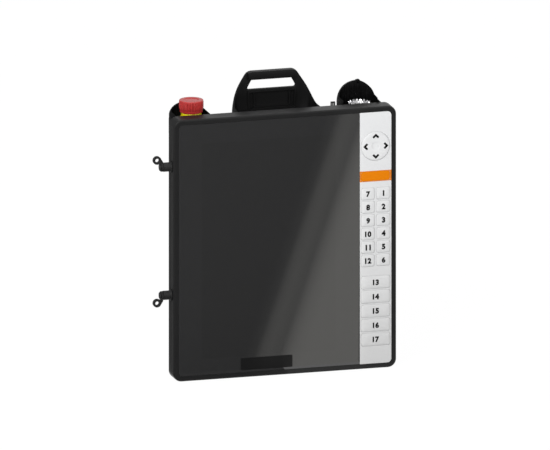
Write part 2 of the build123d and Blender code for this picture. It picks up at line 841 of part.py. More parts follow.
# Stop button: yellow collar, sliding stem and red turn-to-release cap
stop_axis = Plane(origin=(stop_x, control_y, 0), x_dir=(1, 0, 0), z_dir=(0, -1, 0))
bore_radius = stem_radius + stem_clearance
with BuildPart() as stop_base:
    barrel(stop_x, housing_top, bore_radius)
    with BuildSketch(stop_axis):
        with BuildLine():
            Polyline((bore_radius, housing_top), (stop_flare_radius, housing_top),
                     (stop_flare_radius, stop_flare_bottom), (stop_collar_radius, stop_flare_top),
                     (stop_collar_radius, stop_collar_top), (bore_radius, stop_collar_top), close=True)
        make_face()
    revolve(axis=Axis((stop_x, control_y, 0), (0, 0, 1)))

neck_top = cap_top - cap_dish_depth - cap_roof
with BuildPart() as stop_stem:
    with BuildSketch(Plane.XY.offset(stem_bottom)):
        with Locations((stop_x, control_y)):
            Circle(stem_radius)
    extrude(amount=stem_shoulder - stem_bottom)
    with BuildSketch(Plane.XY.offset(stem_shoulder)):
        with Locations((stop_x, control_y)):
            Circle(neck_radius)
    extrude(amount=neck_top - stem_shoulder)

with BuildPart() as stop_cap:
    with BuildSketch(stop_axis):
        with BuildLine():
            Polyline((0, cap_bottom), (cap_bottom_radius, cap_bottom))
            ThreePointArc((cap_bottom_radius, cap_bottom), (cap_radius, cap_bottom + 4.5),
                          (cap_top_radius + cap_step, cap_top - 2 * cap_step))
            Line((cap_top_radius + cap_step, cap_top - 2 * cap_step), (cap_top_radius, cap_top - 2 * cap_step))
            RadiusArc((cap_top_radius, cap_top - 2 * cap_step), (cap_top_radius - 2 * cap_step, cap_top),
                      -2 * cap_step)
            Polyline((cap_top_radius - 2 * cap_step, cap_top), (cap_dish_radius, cap_top),
                     (cap_dish_radius - 1.2, cap_top - cap_dish_depth), (0, cap_top - cap_dish_depth),
                     (0, cap_bottom))
        make_face()
    revolve(axis=Axis((stop_x, control_y, 0), (0, 0, 1)))
    with BuildSketch(Plane.XY.offset(cap_bottom)):
        with Locations((stop_x, control_y)):
            Circle(cap_cavity_radius)
    extrude(amount=cap_cavity_height, mode=Mode.SUBTRACT)
    with BuildSketch(Plane.XY.offset(stem_shoulder + stem_clearance)):
        with Locations((stop_x, control_y)):
            Circle(stem_radius - 1.0)
    extrude(amount=cap_bottom + cap_cavity_height - stem_shoulder)
    with BuildSketch(Plane.XY.offset(stem_shoulder)):
        with Locations((stop_x, control_y)):
            Circle(neck_radius + neck_clearance)
    extrude(amount=neck_top + neck_clearance - stem_shoulder, mode=Mode.SUBTRACT)
    with BuildSketch(Plane.XY.offset(cap_bottom)):
        with Locations((stop_x, control_y)):
            with PolarLocations(cap_radius, cap_grooves):
                Circle(cap_groove_radius)
    extrude(amount=cap_height - cap_groove_margin, mode=Mode.SUBTRACT)

stop_nut = ring_nut(stop_x)
stop_contact_block = contact_block(stop_x)

# Key switch: bright notched ring, turning lock barrel with a key slot
with BuildPart() as key_switch_bezel:
    barrel(key_switch_x, housing_top, key_barrel_radius + key_barrel_clearance)
    with BuildSketch(Plane.XY.offset(housing_top)):
        with Locations((key_switch_x, control_y)):
            Circle(ring_radius)
            Circle(key_barrel_radius + key_barrel_clearance, mode=Mode.SUBTRACT)
    extrude(amount=ring_top - housing_top)
    chamfer(key_switch_bezel.faces().sort_by(Axis.Z)[-1].outer_wire().edges(), 0.8)
    with BuildSketch(Plane.XY.offset(ring_top)):
        with Locations((key_switch_x, control_y)):
            Circle(ring_inner_radius)
    extrude(amount=key_barrel_top - ring_top, mode=Mode.SUBTRACT)
    with BuildSketch(Plane.XY.offset(ring_top)):
        with Locations((key_switch_x, control_y)):
            with PolarLocations(ring_radius, ring_notches):
                Circle(ring_notch_radius)
    extrude(amount=ring_flange_height - ring_height, mode=Mode.SUBTRACT)

with BuildPart() as key_barrel:
    with BuildSketch(Plane.XY.offset(barrel_bottom)):
        with Locations((key_switch_x, control_y)):
            Circle(key_barrel_radius)
    extrude(amount=key_barrel_top - barrel_bottom)
    with BuildSketch(Plane.XY.offset(key_barrel_top)):
        with Locations((key_switch_x, control_y)):
            Rectangle(key_slot_width, key_slot_length)
    extrude(amount=-key_slot_depth, mode=Mode.SUBTRACT)

key_switch_nut = ring_nut(key_switch_x)
key_contact_block = contact_block(key_switch_x)


def wall_plan(x, half_width, back, front, corner):
    """Draw the plan of a U-shaped wall's outside, open to the front."""
    right, left = x + half_width, x - half_width
    y_back, y_front = front_y + back, front_y + front
    with BuildLine() as plan:
        FilletPolyline((left, y_front), (left, y_back), (right, y_back), (right, y_front), radius=corner)
        Line((right, y_front), (left, y_front))
    make_face(plan.edges())


def guard(x, half_width, corner, rise, lean):
    """Build a guard: a U-shaped wall with a leaning arched rim on a skirt down the housing's back."""
    with BuildPart() as wall:
        with BuildSketch(Plane.XY.offset(guard_skirt_bottom)):
            wall_plan(x, half_width, guard_back, guard_front, corner)
        extrude(amount=housing_top + rise - guard_skirt_bottom)
        with BuildSketch(Plane.XY.offset(housing_top)):
            wall_plan(x, half_width - guard_wall, guard_back - guard_wall, guard_front - guard_wall,
                      corner - guard_wall)
        extrude(amount=rise, mode=Mode.SUBTRACT)
        with BuildSketch(Plane.XY.offset(housing_top)):
            with Locations((x, front_y + guard_back - guard_wall)):
                with GridLocations(guard_rib_pitch, 1, guard_ribs, 1):
                    Rectangle(guard_rib_width, 2 * guard_rib_depth)
        extrude(amount=rise)
        with Locations((x, front_y + housing_depth, housing_top)):
            Box(2 * half_width, housing_depth, housing_top - guard_skirt_bottom,
                align=(Align.CENTER, Align.MAX, Align.MAX), mode=Mode.SUBTRACT)
        with BuildSketch(layer(guard_back)):
            with BuildLine():
                foot = housing_top + frame_depth / 5
                apex = (x + lean, housing_top + rise)
                shoulder_z = housing_top + rise * arch_shoulder_rise
                ThreePointArc((x - half_width, foot), (x - half_width * arch_shoulder_reach, shoulder_z), apex)
                ThreePointArc(apex, (x + lean + (half_width - lean) * arch_shoulder_reach, shoulder_z),
                              (x + half_width, foot))
                Polyline((x + half_width, foot), (x + half_width, guard_skirt_bottom),
                         (x - half_width, guard_skirt_bottom), (x - half_width, foot))
            make_face()
        extrude(amount=guard_back - guard_front, mode=Mode.INTERSECT)
        with BuildSketch(layer(guard_back)):
            with Locations((x + lean, housing_top + rise - guard_nib_radius / 2)):
                Circle(guard_nib_radius)
        extrude(amount=guard_wall)
    return wall


stop_guard = guard(stop_guard_x, stop_guard_half_width, stop_guard_corner, stop_guard_rise, 0)
key_guard = guard(key_switch_x, key_guard_half_width, key_guard_corner, key_guard_rise, key_guard_lean)

# Hanging handle: a U-shaped wall under an arch, with a slot for the hand or a hook
with BuildPart() as hanging_handle:
    with BuildSketch(Plane.XY.offset(handle_apron_bottom)):
        wall_plan(0, handle_base_half_width, handle_back, handle_front, handle_plan_corner)
    extrude(amount=handle_top - handle_apron_bottom)
    with BuildSketch(Plane.XY.offset(housing_top)):
        wall_plan(0, handle_base_half_width - handle_wall, handle_back - handle_wall,
                  handle_front - handle_wall, handle_plan_corner - handle_wall)
    extrude(amount=handle_top - housing_top, mode=Mode.SUBTRACT)
    with Locations((0, front_y + housing_depth, housing_top)):
        Box(2 * handle_base_half_width, housing_depth, housing_top - handle_apron_bottom,
            align=(Align.CENTER, Align.MAX, Align.MAX), mode=Mode.SUBTRACT)
    with BuildSketch(layer(handle_back)):
        with Locations((0, slot_top)):
            Rectangle(2 * handle_top_half_width, handle_top - slot_top, align=(Align.CENTER, Align.MIN))
    extrude(amount=handle_grip_depth)
    with BuildSketch(layer(handle_back - handle_wall / 2)):
        for rib_x in handle_rib_places:
            with Locations((-rib_x, housing_top), (rib_x, housing_top)):
                Rectangle(handle_rib_width, slot_bottom - slot_corner - housing_top,
                          align=(Align.CENTER, Align.MIN))
        with Locations((0, slot_bottom - slot_corner)):
            Rectangle(2 * handle_rib_places[-1] + handle_rib_width, handle_rib_width,
                      align=(Align.CENTER, Align.MAX))
    extrude(amount=handle_wall / 2 + handle_rib_depth)
    with BuildSketch(layer(handle_back)):
        with BuildLine():
            FilletPolyline((-handle_base_half_width, handle_apron_bottom), (-handle_base_half_width, housing_top),
                           (-handle_shoulder_half_width, handle_shoulder), (-handle_top_half_width, handle_top),
                           (handle_top_half_width, handle_top), (handle_shoulder_half_width, handle_shoulder),
                           (handle_base_half_width, housing_top), (handle_base_half_width, handle_apron_bottom),
                           radius=handle_rim_round)
            Line((-handle_base_half_width, handle_apron_bottom), (handle_base_half_width, handle_apron_bottom))
        make_face()
    extrude(amount=handle_back - handle_front, mode=Mode.INTERSECT)
    with BuildSketch(layer(handle_back)):
        with Locations((0, (handle_skirt_bottom + housing_top + handle_wall) / 2)):
            RectangleRounded(2 * handle_skirt_half_width, housing_top + handle_wall - handle_skirt_bottom,
                             housing_corner)
    extrude(amount=handle_back - housing_depth)
    with BuildSketch(layer(handle_back)):
        with BuildLine():
            FilletPolyline((-slot_bottom_width / 2, slot_bottom), (-slot_top_width / 2, slot_top),
                           (slot_top_width / 2, slot_top), (slot_bottom_width / 2, slot_bottom),
                           radius=slot_corner, close=True)
        make_face()
    extrude(amount=handle_back - handle_front, mode=Mode.SUBTRACT)
    with BuildSketch(layer(handle_back)):
        with Locations((-handle_screw_x, handle_screw_z), (handle_screw_x, handle_screw_z)):
            Circle(counterbore_radius)
    extrude(amount=(handle_back - housing_depth) / 2, mode=Mode.SUBTRACT)
    with BuildSketch(layer(handle_back)):
        with Locations((-handle_screw_x, handle_screw_z), (handle_screw_x, handle_screw_z)):
            Circle(screw_hole_radius)
    extrude(amount=handle_back - housing_depth, mode=Mode.SUBTRACT)

handle_seat = (handle_back + housing_depth) / 2
with BuildPart() as handle_screws:
    for side in (-1, 1):
        pan_screw((side * handle_screw_x, handle_screw_z), handle_seat, handle_seat - housing_depth + housing_wall)

# Stylus in its well beside the key switch
stylus_place = (stylus_x, front_y + stylus_depth)
well_bottom = housing_top + well_rim - stylus_length - well_floor
well_outer = stylus_radius + stylus_clearance + well_wall
with BuildPart() as stylus_well:
    with BuildSketch(Plane.XY.offset(well_bottom)):
        with Locations(stylus_place):
            Circle(well_outer)
    extrude(amount=housing_top - well_bottom)
    with BuildSketch(Plane.XY.offset(housing_top)):
        with Locations(stylus_place):
            Circle(well_outer + well_rim)
    extrude(amount=well_rim)
    with BuildSketch(Plane.XY.offset(well_bottom + well_floor)):
        with Locations(stylus_place):
            Circle(stylus_radius + stylus_clearance)
    extrude(amount=stylus_length, mode=Mode.SUBTRACT)

stylus_bottom = well_bottom + well_floor
stylus_top = stylus_bottom + stylus_length + stylus_proud
with BuildPart() as stylus:
    with BuildSketch(Plane(origin=(stylus_x, front_y + stylus_depth, 0), x_dir=(1, 0, 0), z_dir=(0, -1, 0))):
        with BuildLine():
            Polyline((0, stylus_bottom), (stylus_tip_radius, stylus_bottom),
                     (stylus_radius, stylus_bottom + stylus_tip_length), (stylus_radius, stylus_top),
                     (0, stylus_top), (0, stylus_bottom))
        make_face()
    revolve(axis=Axis((stylus_x, front_y + stylus_depth, 0), (0, 0, 1)))
    with BuildSketch(layer(stylus_depth + loop_thickness / 2)):
        with Locations((stylus_x, stylus_top + loop_radius)):
            Circle(loop_radius)
        with Locations((stylus_x, stylus_top)):
            Rectangle(2 * loop_radius, loop_radius, align=(Align.CENTER, Align.MIN))
        with Locations((stylus_x, stylus_top + loop_radius)):
            Circle(loop_hole_radius, mode=Mode.SUBTRACT)
    extrude(amount=loop_thickness)

# Cable gland screwed into the housing's underside
gland_place = (gland_x, front_y + gland_depth)
hex_bottom = housing_bottom - gland_hex_height
with BuildPart() as gland_body:
    with BuildSketch(Plane.XY.offset(hex_bottom)):
        with Locations(gland_place):
            RegularPolygon(gland_hex_radius, 6)
    extrude(amount=gland_hex_height)
    with BuildSketch(Plane.XY.offset(housing_bottom)):
        with Locations(gland_place):
            Circle(gland_thread_radius)
    extrude(amount=gland_spigot_length)
    with BuildSketch(Plane.XY.offset(hex_bottom)):
        with Locations(gland_place):
            Circle(gland_thread_radius)
    extrude(amount=-gland_hex_height)
    with BuildSketch(Plane.XY.offset(housing_bottom + gland_spigot_length)):
        with Locations(gland_place):
            Circle(gland_bore_radius)
    extrude(amount=-gland_spigot_length - 2 * gland_hex_height, mode=Mode.SUBTRACT)

seal_top = hex_bottom
with BuildPart() as gland_seal:
    with BuildSketch(Plane.XY.offset(seal_top)):
        with Locations(gland_place):
            Circle(gland_bore_radius)
            Circle(gland_cable_radius, mode=Mode.SUBTRACT)
    extrude(amount=-gland_seal_length)

with BuildPart() as gland_cap:
    with BuildSketch(Plane.XY.offset(hex_bottom)):
        with Locations(gland_place):
            Circle(gland_cap_radius)
    extrude(amount=-gland_cap_length)
    fillet(gland_cap.faces().sort_by(Axis.Z)[0].edges(), 2.5)
    with BuildSketch(Plane.XY.offset(hex_bottom)):
        with Locations(gland_place):
            Circle(gland_thread_radius)
    extrude(amount=-gland_seal_length, mode=Mode.SUBTRACT)
    with BuildSketch(Plane.XY.offset(hex_bottom)):
        with Locations(gland_place):
            Circle(gland_cable_radius + 1.0)
    extrude(amount=-gland_cap_length, mode=Mode.SUBTRACT)

# Strap posts on the left side: a pin through each carries a turning eyelet
post_end_x = left_x - post_length
hub_right_x = post_end_x - eyelet_gap
hub_left_x = hub_right_x - eyelet_hub_thickness
pin_head_x = hub_left_x - eyelet_gap


def post_disc(x, length, radius, place):
    """Add a disc that starts at X and runs left along the post."""
    with BuildSketch(side_layer(x)) as disc:
        with Locations(place):
            Circle(radius)
    extrude(disc.sketch, amount=length)


with BuildPart() as strap_posts:
    for drop in strap_drops.values():
        place = (0, drop - frame_height)
        post_disc(left_x, post_flange_thickness, post_flange_radius, place)
        post_disc(left_x, post_length, post_radius, place)
        post_disc(left_x + frame_wall, left_x + frame_wall - pin_head_x, strap_pin_radius, place)
        post_disc(pin_head_x, strap_pin_head_thickness, strap_pin_head_radius, place)


def eyelet(drop, up):
    """Build an eyelet: a hub that turns on the post's pin, with a ring to one side."""
    axis_z = frame_height - drop
    ring_x = hub_left_x - eyelet_reach + eyelet_hub_thickness
    ring_z = axis_z + up * eyelet_rise
    with BuildPart() as piece:
        post_disc(hub_right_x, eyelet_hub_thickness, eyelet_hub_radius, (0, -axis_z))
        with BuildSketch(layer(frame_depth / 2 + eyelet_thickness / 2)):
            with BuildLine():
                Polyline((hub_right_x, axis_z + up * 1.0), (hub_right_x, axis_z + up * 6.5),
                         (ring_x + 4.0, ring_z + up * 3.0), (ring_x - 3.5, ring_z - up * 3.5),
                         (hub_left_x, axis_z + up * 4.8), (hub_left_x, axis_z + up * 1.0), close=True)
            make_face()
            with Locations((ring_x, ring_z)):
                Circle(eyelet_ring_radius)
                Circle(eyelet_hole_radius, mode=Mode.SUBTRACT)
        extrude(amount=eyelet_thickness)
        with BuildSketch(side_layer(hub_right_x)):
            with Locations((0, -axis_z)):
                Circle(strap_pin_radius + strap_pin_clearance)
        extrude(amount=eyelet_hub_thickness, mode=Mode.SUBTRACT)
    return piece


upper_strap_eyelet = eyelet(strap_drops["upper"], 1)
lower_strap_eyelet = eyelet(strap_drops["lower"], -1)

pieces = {
    "front_frame": front_frame,
    "housing_gasket": housing_gasket,
    "touch_glass": touch_glass,
    "blank_plate": blank_plate,
    "lcd_module": lcd_module,
    "lcd_brackets": lcd_brackets,
    "main_board": main_board,
    "board_screws": board_screws,
    "keypad_panel": keypad_panel,
    "keymat": keymat,
    "keypad_board": keypad_board,
    "nav_pivot": nav_pivot,
    "nav_disc": nav_disc,
    "rear_housing": rear_housing,
    "housing_screws": housing_screws,
    "hand_grip_left": hand_grip_left,
    "hand_grip_right": hand_grip_right,
    "enabling_button_left": enabling_button_left,
    "enabling_button_right": enabling_button_right,
    "enabling_switch_left": enabling_switch_left,
    "enabling_switch_right": enabling_switch_right,
    "stop_base": stop_base,
    "stop_nut": stop_nut,
    "stop_contact_block": stop_contact_block,
    "stop_stem": stop_stem,
    "stop_cap": stop_cap,
    "key_switch_bezel": key_switch_bezel,
    "key_switch_nut": key_switch_nut,
    "key_contact_block": key_contact_block,
    "key_barrel": key_barrel,
    "stop_guard": stop_guard,
    "key_guard": key_guard,
    "hanging_handle": hanging_handle,
    "handle_screws": handle_screws,
    "stylus_well": stylus_well,
    "stylus": stylus,
    "gland_body": gland_body,
    "gland_seal": gland_seal,
    "gland_cap": gland_cap,
    "strap_posts": strap_posts,
    "upper_strap_eyelet": upper_strap_eyelet,
    "lower_strap_eyelet": lower_strap_eyelet,
    **keys,
}
for name, piece in pieces.items():
    piece.part.label = name
    export_step(piece.part, f"parts/{name}.step")
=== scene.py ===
"""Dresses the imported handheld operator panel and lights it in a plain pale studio.

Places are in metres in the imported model's own frame, where X runs right, Y back and Z up.
Profiles, outlines and the fields that say so are in millimetres.
"""

from __future__ import annotations

import logging
import math
from collections.abc import Callable, Iterable, Iterator, Sequence
from contextlib import contextmanager
from dataclasses import dataclass
from enum import Enum

import bmesh
import bpy
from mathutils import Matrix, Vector


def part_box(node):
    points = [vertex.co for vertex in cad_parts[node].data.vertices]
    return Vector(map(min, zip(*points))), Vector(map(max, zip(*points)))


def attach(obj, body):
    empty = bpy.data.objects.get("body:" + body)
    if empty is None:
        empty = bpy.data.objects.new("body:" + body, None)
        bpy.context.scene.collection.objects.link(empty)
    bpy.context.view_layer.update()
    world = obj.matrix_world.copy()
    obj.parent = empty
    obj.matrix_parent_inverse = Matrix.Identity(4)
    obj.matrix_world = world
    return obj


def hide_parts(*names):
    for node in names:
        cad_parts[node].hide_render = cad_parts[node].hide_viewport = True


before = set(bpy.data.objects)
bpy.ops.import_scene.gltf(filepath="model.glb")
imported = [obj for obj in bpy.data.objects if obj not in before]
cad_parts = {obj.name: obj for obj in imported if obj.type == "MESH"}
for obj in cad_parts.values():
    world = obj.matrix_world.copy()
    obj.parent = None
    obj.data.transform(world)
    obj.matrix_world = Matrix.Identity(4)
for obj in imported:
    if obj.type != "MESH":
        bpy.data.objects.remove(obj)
LOG = logging.getLogger("operator_panel")
MM = 0.001
BACKWARDS = Vector((0.0, 1.0, 0.0))
UPWARDS = Vector((0.0, 0.0, 1.0))
Colour = tuple[float, float, float]
Place = tuple[float, float, float]
Pairs = Iterable[tuple[float, float]]
Table = tuple[tuple[float, float], ...]
Socket = bpy.types.NodeSocket
Outputs = bpy.types.NodeOutputs
Piece = bpy.types.Object


class MeshPart(Enum):
    """Names what a selection picks, each with its list in a mesh being edited."""

    VERT = "verts"
    EDGE = "edges"
    FACE = "faces"


# Shared effects and finishes


class Graph:
    """Adds nodes to a node tree and wires them."""

    def __init__(self, tree: bpy.types.NodeTree) -> None:
        """Keeps the tree that is worked on."""
        self.tree = tree

    def put(self, entry: Socket, value: object) -> None:
        """Links a socket to a node's input, or sets the input's own value.

        Args:
            entry: The input.
            value: The socket or the plain value.
        """
        if isinstance(value, Socket):
            self.tree.links.new(value, entry)
        else:
            entry.default_value = value

    def add(
        self, kind: str, inputs: dict[str | int, object] | None = None, **settings: object
    ) -> bpy.types.Node:
        """Adds a shader node.

        Args:
            kind: The node's type, without the prefix that all have.
            inputs: A socket or a plain value for each input, by name or number.
            settings: The node's own settings, which are made first.

        Returns:
            The node.
        """
        node = self.tree.nodes.new(f"ShaderNode{kind}")
        for name, value in settings.items():
            setattr(node, name, value)
        for name, value in (inputs or {}).items():
            self.put(node.inputs[name], value)
        return node

    def math(
        self, operation: str, first: Socket, second: Socket | float = 0.0, clamp: bool = False
    ) -> Socket:
        """Works out one step of arithmetic.

        Args:
            operation: The Math node's operation.
            first: The first value.
            second: The second value, if the operation has one.
            clamp: Whether the result is kept between nought and one.

        Returns:
            The result's socket.
        """
        node = self.add("Math", {0: first, 1: second}, operation=operation, use_clamp=clamp)
        return node.outputs["Value"]

    def spread(
        self, value: Socket, given: tuple[float, float], wanted: tuple[float, float] = (0.0, 1.0)
    ) -> Socket:
        """Maps one range of values onto another and holds it there.

        Args:
            value: The value.
            given: The range that it comes in.
            wanted: The range that it leaves in.

        Returns:
            The result's socket.
        """
        ends = {"From Min": given[0], "From Max": given[1]}
        ends |= {"To Min": wanted[0], "To Max": wanted[1]}
        return self.add("MapRange", {"Value": value, **ends}).outputs["Result"]

    def noise(self, place: Socket, scale: Socket, detail: float, distortion: float = 0.0) -> Socket:
        """Adds a noise texture.

        Args:
            place: The coordinates.
            scale: Its scale.
            detail: How many finer layers it has.
            distortion: How much it swirls.

        Returns:
            The noise's socket.
        """
        inputs = {"Vector": place, "Scale": scale, "Detail": detail, "Distortion": distortion}
        return self.add("TexNoise", inputs).outputs["Fac"]

    def effect(self, effect: Effect, inputs: dict[str, object]) -> Outputs:
        """Places a shared effect's group with the given inputs."""
        return self.add("Group", inputs, node_tree=effect.group()).outputs

    def mix(self, share: Socket, first: object, second: object) -> Socket:
        """Mixes two colours.

        Args:
            share: How much of the second colour there is.
            first: The first colour, or its socket.
            second: The second colour, or its socket.

        Returns:
            The result's socket.
        """
        inputs = {"Factor": share, "A": first, "B": second}
        return self.add("Mix", inputs, data_type="RGBA").outputs["Result"]

    def emit(self, inputs: dict[str | int, object]) -> Socket:
        """Adds an emission shader with the given colour and strength."""
        return self.add("Emission", inputs).outputs["Emission"]

    def show(self, shader: Socket) -> None:
        """Makes a shader the material's surface."""
        self.put(self.tree.nodes["Material Output"].inputs["Surface"], shader)

    def seen_directly(self) -> Socket:
        """Gives one for camera, mirror and see-through rays, and nought for the rest.

        Returns:
            The mask's socket.
        """
        rays = self.add("LightPath").outputs
        mask = self.math("MAXIMUM", rays["Is Camera Ray"], rays["Is Glossy Ray"])
        return self.math("MAXIMUM", mask, rays["Is Transmission Ray"])


class Effect(Enum):
    """Names the shader node groups that finishes share, each with its number inputs."""

    MOULDED_GRAIN = {"Scale": 1600.0, "Patch": 60.0}
    HANDLING_MARKS = {"Scale": 26.0}
    BRUSHED_LINES = {"Scale": 900.0}

    def group(self) -> bpy.types.ShaderNodeTree:
        """Finds or builds the effect's node group.

        The grain is fine spark grain with a little change of gloss, the marks are soft smears
        that hands leave, and the lines are long fine scratches that run along X.

        Returns:
            The group's node tree.
        """
        found = bpy.data.node_groups.get(self.name.lower())
        if found is not None:
            return found
        tree = bpy.data.node_groups.new(self.name.lower(), "ShaderNodeTree")
        plug = tree.interface.new_socket
        plug("Vector", in_out="INPUT", socket_type="NodeSocketVector")
        for name, value in self.value.items():
            plug(name, in_out="INPUT", socket_type="NodeSocketFloat").default_value = value
        graph, given = Graph(tree), tree.nodes.new("NodeGroupInput").outputs
        place, scale = given["Vector"], given["Scale"]
        if self is Effect.MOULDED_GRAIN:
            height, gloss = graph.noise(place, scale, 3.0), graph.noise(place, given["Patch"], 2.0)
            results = {"Height": height, "Gloss": gloss}
        elif self is Effect.HANDLING_MARKS:
            smears = graph.noise(place, scale, 4.0, 0.6)
            results = {"Mask": graph.spread(smears, (0.45, 0.75))}
        else:
            stretch = {0: place, 1: (0.03, 1.0, 1.0)}
            along = graph.add("VectorMath", stretch, operation="MULTIPLY").outputs["Vector"]
            scratches = graph.noise(along, scale, 2.0)
            results = {"Height": scratches, "Gloss": scratches}
        leaving = tree.nodes.new("NodeGroupOutput").inputs
        for name, result in results.items():
            plug(name, in_out="OUTPUT", socket_type="NodeSocketFloat")
            graph.put(leaving[name], result)
        return tree


@dataclass(frozen=True)
class Finish:
    """Holds what every finish shares and builds its node-based material."""

    name: str
    colour: Colour
    roughness: float = 0.45
    roughness_spread: float = 0.08
    tint: float = 0.06
    grain: float = 0.00002
    grain_scale: float = 1600.0
    grain_strength: float = 0.6
    marks: float = 0.0
    metallic: float = 0.0
    ior: float = 1.5
    lines: bool = False
    slot: str = ""

    def build(self) -> bpy.types.Material:
        """Builds the material, or finds it if it was built before.

        Returns:
            The finished material.
        """
        found = bpy.data.materials.get(self.name)
        if found is not None:
            return found
        material = bpy.data.materials.new(self.name)
        material.use_nodes = True
        graph = Graph(material.node_tree)
        place = graph.add("TexCoord").outputs["Object"]
        effect = Effect.BRUSHED_LINES if self.lines else Effect.MOULDED_GRAIN
        texture = graph.effect(effect, {"Vector": place, "Scale": self.grain_scale})
        axes = graph.add("SeparateXYZ", {"Vector": place}).outputs
        low = tuple(c * (1.0 - self.tint) for c in self.colour)
        high = tuple(min(1.0, c * (1.0 + self.tint)) for c in self.colour)
        colour = graph.mix(texture["Gloss"], (*low, 1.0), (*high, 1.0))
        bump = {"Distance": self.grain, "Strength": self.grain_strength}
        wanted = {
            "Metallic": self.metallic,
            "IOR": self.ior,
            "Base Color": self.painted(graph, axes, colour),
            "Roughness": self._gloss(graph, place, texture["Gloss"]),
            "Normal": graph.add("Bump", {**bump, "Height": texture["Height"]}).outputs["Normal"],
        }
        shader = graph.tree.nodes["Principled BSDF"]
        for name, value in wanted.items():
            graph.put(shader.inputs[name], value)
        return material

    def painted(self, graph: Graph, axes: Outputs, colour: Socket) -> Socket:
        """Gives subclasses a place to change the colour by where it is."""
        return colour

    def _gloss(self, graph: Graph, place: Socket, texture: Socket) -> Socket:
        """Lets the roughness follow the texture and, where asked, handling marks.

        Args:
            graph: The material's graph.
            place: The Object coordinates.
            texture: The texture's change of gloss.

        Returns:
            The roughness.
        """
        low, high = self.roughness - self.roughness_spread, self.roughness + self.roughness_spread
        result = graph.spread(texture, (0.0, 1.0), (low, high))
        if self.marks > 0.0:
            mask = graph.effect(Effect.HANDLING_MARKS, {"Vector": place})["Mask"]
            result = graph.math("ADD", result, graph.math("MULTIPLY", mask, self.marks), True)
        return result


@dataclass(frozen=True)
class TouchGlass(Finish):
    """Dark touch glass, a little darker still where the display lies behind it."""

    display_centre: tuple[float, float] = (-0.0198, 0.1565)
    display_half: tuple[float, float] = (0.0818, 0.1306)
    display_colour: Colour = (0.0288, 0.0288, 0.0291)
    display_edge: float = 0.0006

    def painted(self, graph: Graph, axes: Outputs, colour: Socket) -> Socket:
        """Darkens the display's active area with a soft straight edge.

        Args:
            graph: The material's graph.
            axes: The Object coordinates, one by one.
            colour: The glass's colour.

        Returns:
            The colour with the display in it.
        """
        masks = []
        for axis, middle, half in zip("XZ", self.display_centre, self.display_half):
            away = graph.math("ABSOLUTE", graph.math("SUBTRACT", axes[axis], middle))
            ends = (half + self.display_edge, half - self.display_edge)
            masks.append(graph.spread(away, ends))
        return graph.mix(graph.math("MULTIPLY", *masks), colour, (*self.display_colour, 1.0))


@dataclass(frozen=True)
class KeypadPlastic(Finish):
    """Light keypad plastic with painted shade that darkens it towards the column's lower end."""

    # The painted shade's colour at the column's lower end, and the heights over which it fades in.
    low_colour: Colour = (0.64, 0.64, 0.64)
    heights: tuple[float, float] = (0.0, 0.31)

    def painted(self, graph: Graph, axes: Outputs, colour: Socket) -> Socket:
        """Blends painted shade into the colour along the column's height, darker towards the lower
        end.

        Args:
            graph: The material's graph.
            axes: The Object coordinates, one by one.
            colour: The colour at the upper end.

        Returns:
            The colour with the painted shade blended in.
        """
        # Painted shade: darker lower down the column, as though less light from above reaches
        # there.
        return graph.mix(graph.spread(axes["Z"], self.heights), (*self.low_colour, 1.0), colour)


FRAME_BLACK = Finish(
    "frame_black", (0.0172, 0.0172, 0.0174), roughness=0.42, marks=0.05, grain=0.00003, ior=1.27
)
HOUSING_BLACK = Finish(
    "housing_black", (0.01, 0.01, 0.0103), roughness=0.44, marks=0.08, ior=1.3
)
GUARD_BLACK = Finish(
    "guard_black", (0.0052, 0.0052, 0.0053), roughness=0.32, roughness_spread=0.05, ior=1.13
)
HANDLE_BLACK = Finish(
    "handle_black", (0.0066, 0.0066, 0.0067), roughness=0.42, ior=1.2, slot="guard_black"
)
PANEL_GLASS = TouchGlass(
    "panel_glass",
    (0.0305, 0.0305, 0.031),
    roughness=0.05,
    roughness_spread=0.02,
    tint=0.02,
    grain=0.0,
    ior=1.75,
)
PLATE_BLACK = Finish("plate_black", (0.0115, 0.0115, 0.0117), roughness=0.4, ior=1.2)
DISPLAY_CASE = Finish("display_case", (0.3, 0.3, 0.31), roughness=0.5)
SHEET_STEEL = Finish("sheet_steel", (0.6, 0.6, 0.6), roughness=0.35, metallic=1.0, lines=True)
CIRCUIT_BOARD = Finish("circuit_board", (0.02, 0.16, 0.06), roughness=0.4, tint=0.15)
SCREW_STEEL = Finish("screw_steel", (0.42, 0.42, 0.43), roughness=0.3, metallic=1.0)
SEAL_RUBBER = Finish("seal_rubber", (0.04, 0.04, 0.04), roughness=0.75)
# Both light plastics carry painted shade that darkens them towards the column's lower end.
KEYPAD_GREY = KeypadPlastic("keypad_grey", (0.79, 0.797, 0.805), roughness=0.5, tint=0.015)
KEY_WHITE = KeypadPlastic("key_white", (0.8, 0.806, 0.812), tint=0.015)
KEY_ORANGE = Finish("key_orange", (0.78, 0.215, 0.0005), roughness=0.6, tint=0.02, ior=1.15)
LEGEND_BLACK = Finish(
    "legend_black", (0.004, 0.004, 0.004), roughness=0.6, ior=1.1, slot="switch_black"
)
SWITCH_BLACK = Finish("switch_black", (0.02, 0.02, 0.02), roughness=0.5)
COLLAR_YELLOW = Finish("collar_yellow", (0.97, 0.83, 0.004), roughness=0.3, tint=0.04)
CAP_RED = Finish("cap_red", (0.54, 0.044, 0.042), roughness=0.3, ior=1.4)
RING_CHROME = Finish(
    "ring_chrome", (0.66, 0.66, 0.67), roughness=0.26, roughness_spread=0.06, metallic=1.0
)
BARREL_STEEL = Finish("barrel_steel", (0.55, 0.55, 0.55), roughness=0.25, metallic=1.0)
STYLUS_BLACK = Finish("stylus_black", (0.02, 0.02, 0.02), roughness=0.35)
BUTTON_RUBBER = Finish("button_rubber", (0.07, 0.07, 0.07), roughness=0.65)
GLAND_BLACK = Finish("gland_black", (0.018, 0.018, 0.018))
POST_STEEL = Finish("post_steel", (0.022, 0.022, 0.022), roughness=0.4)

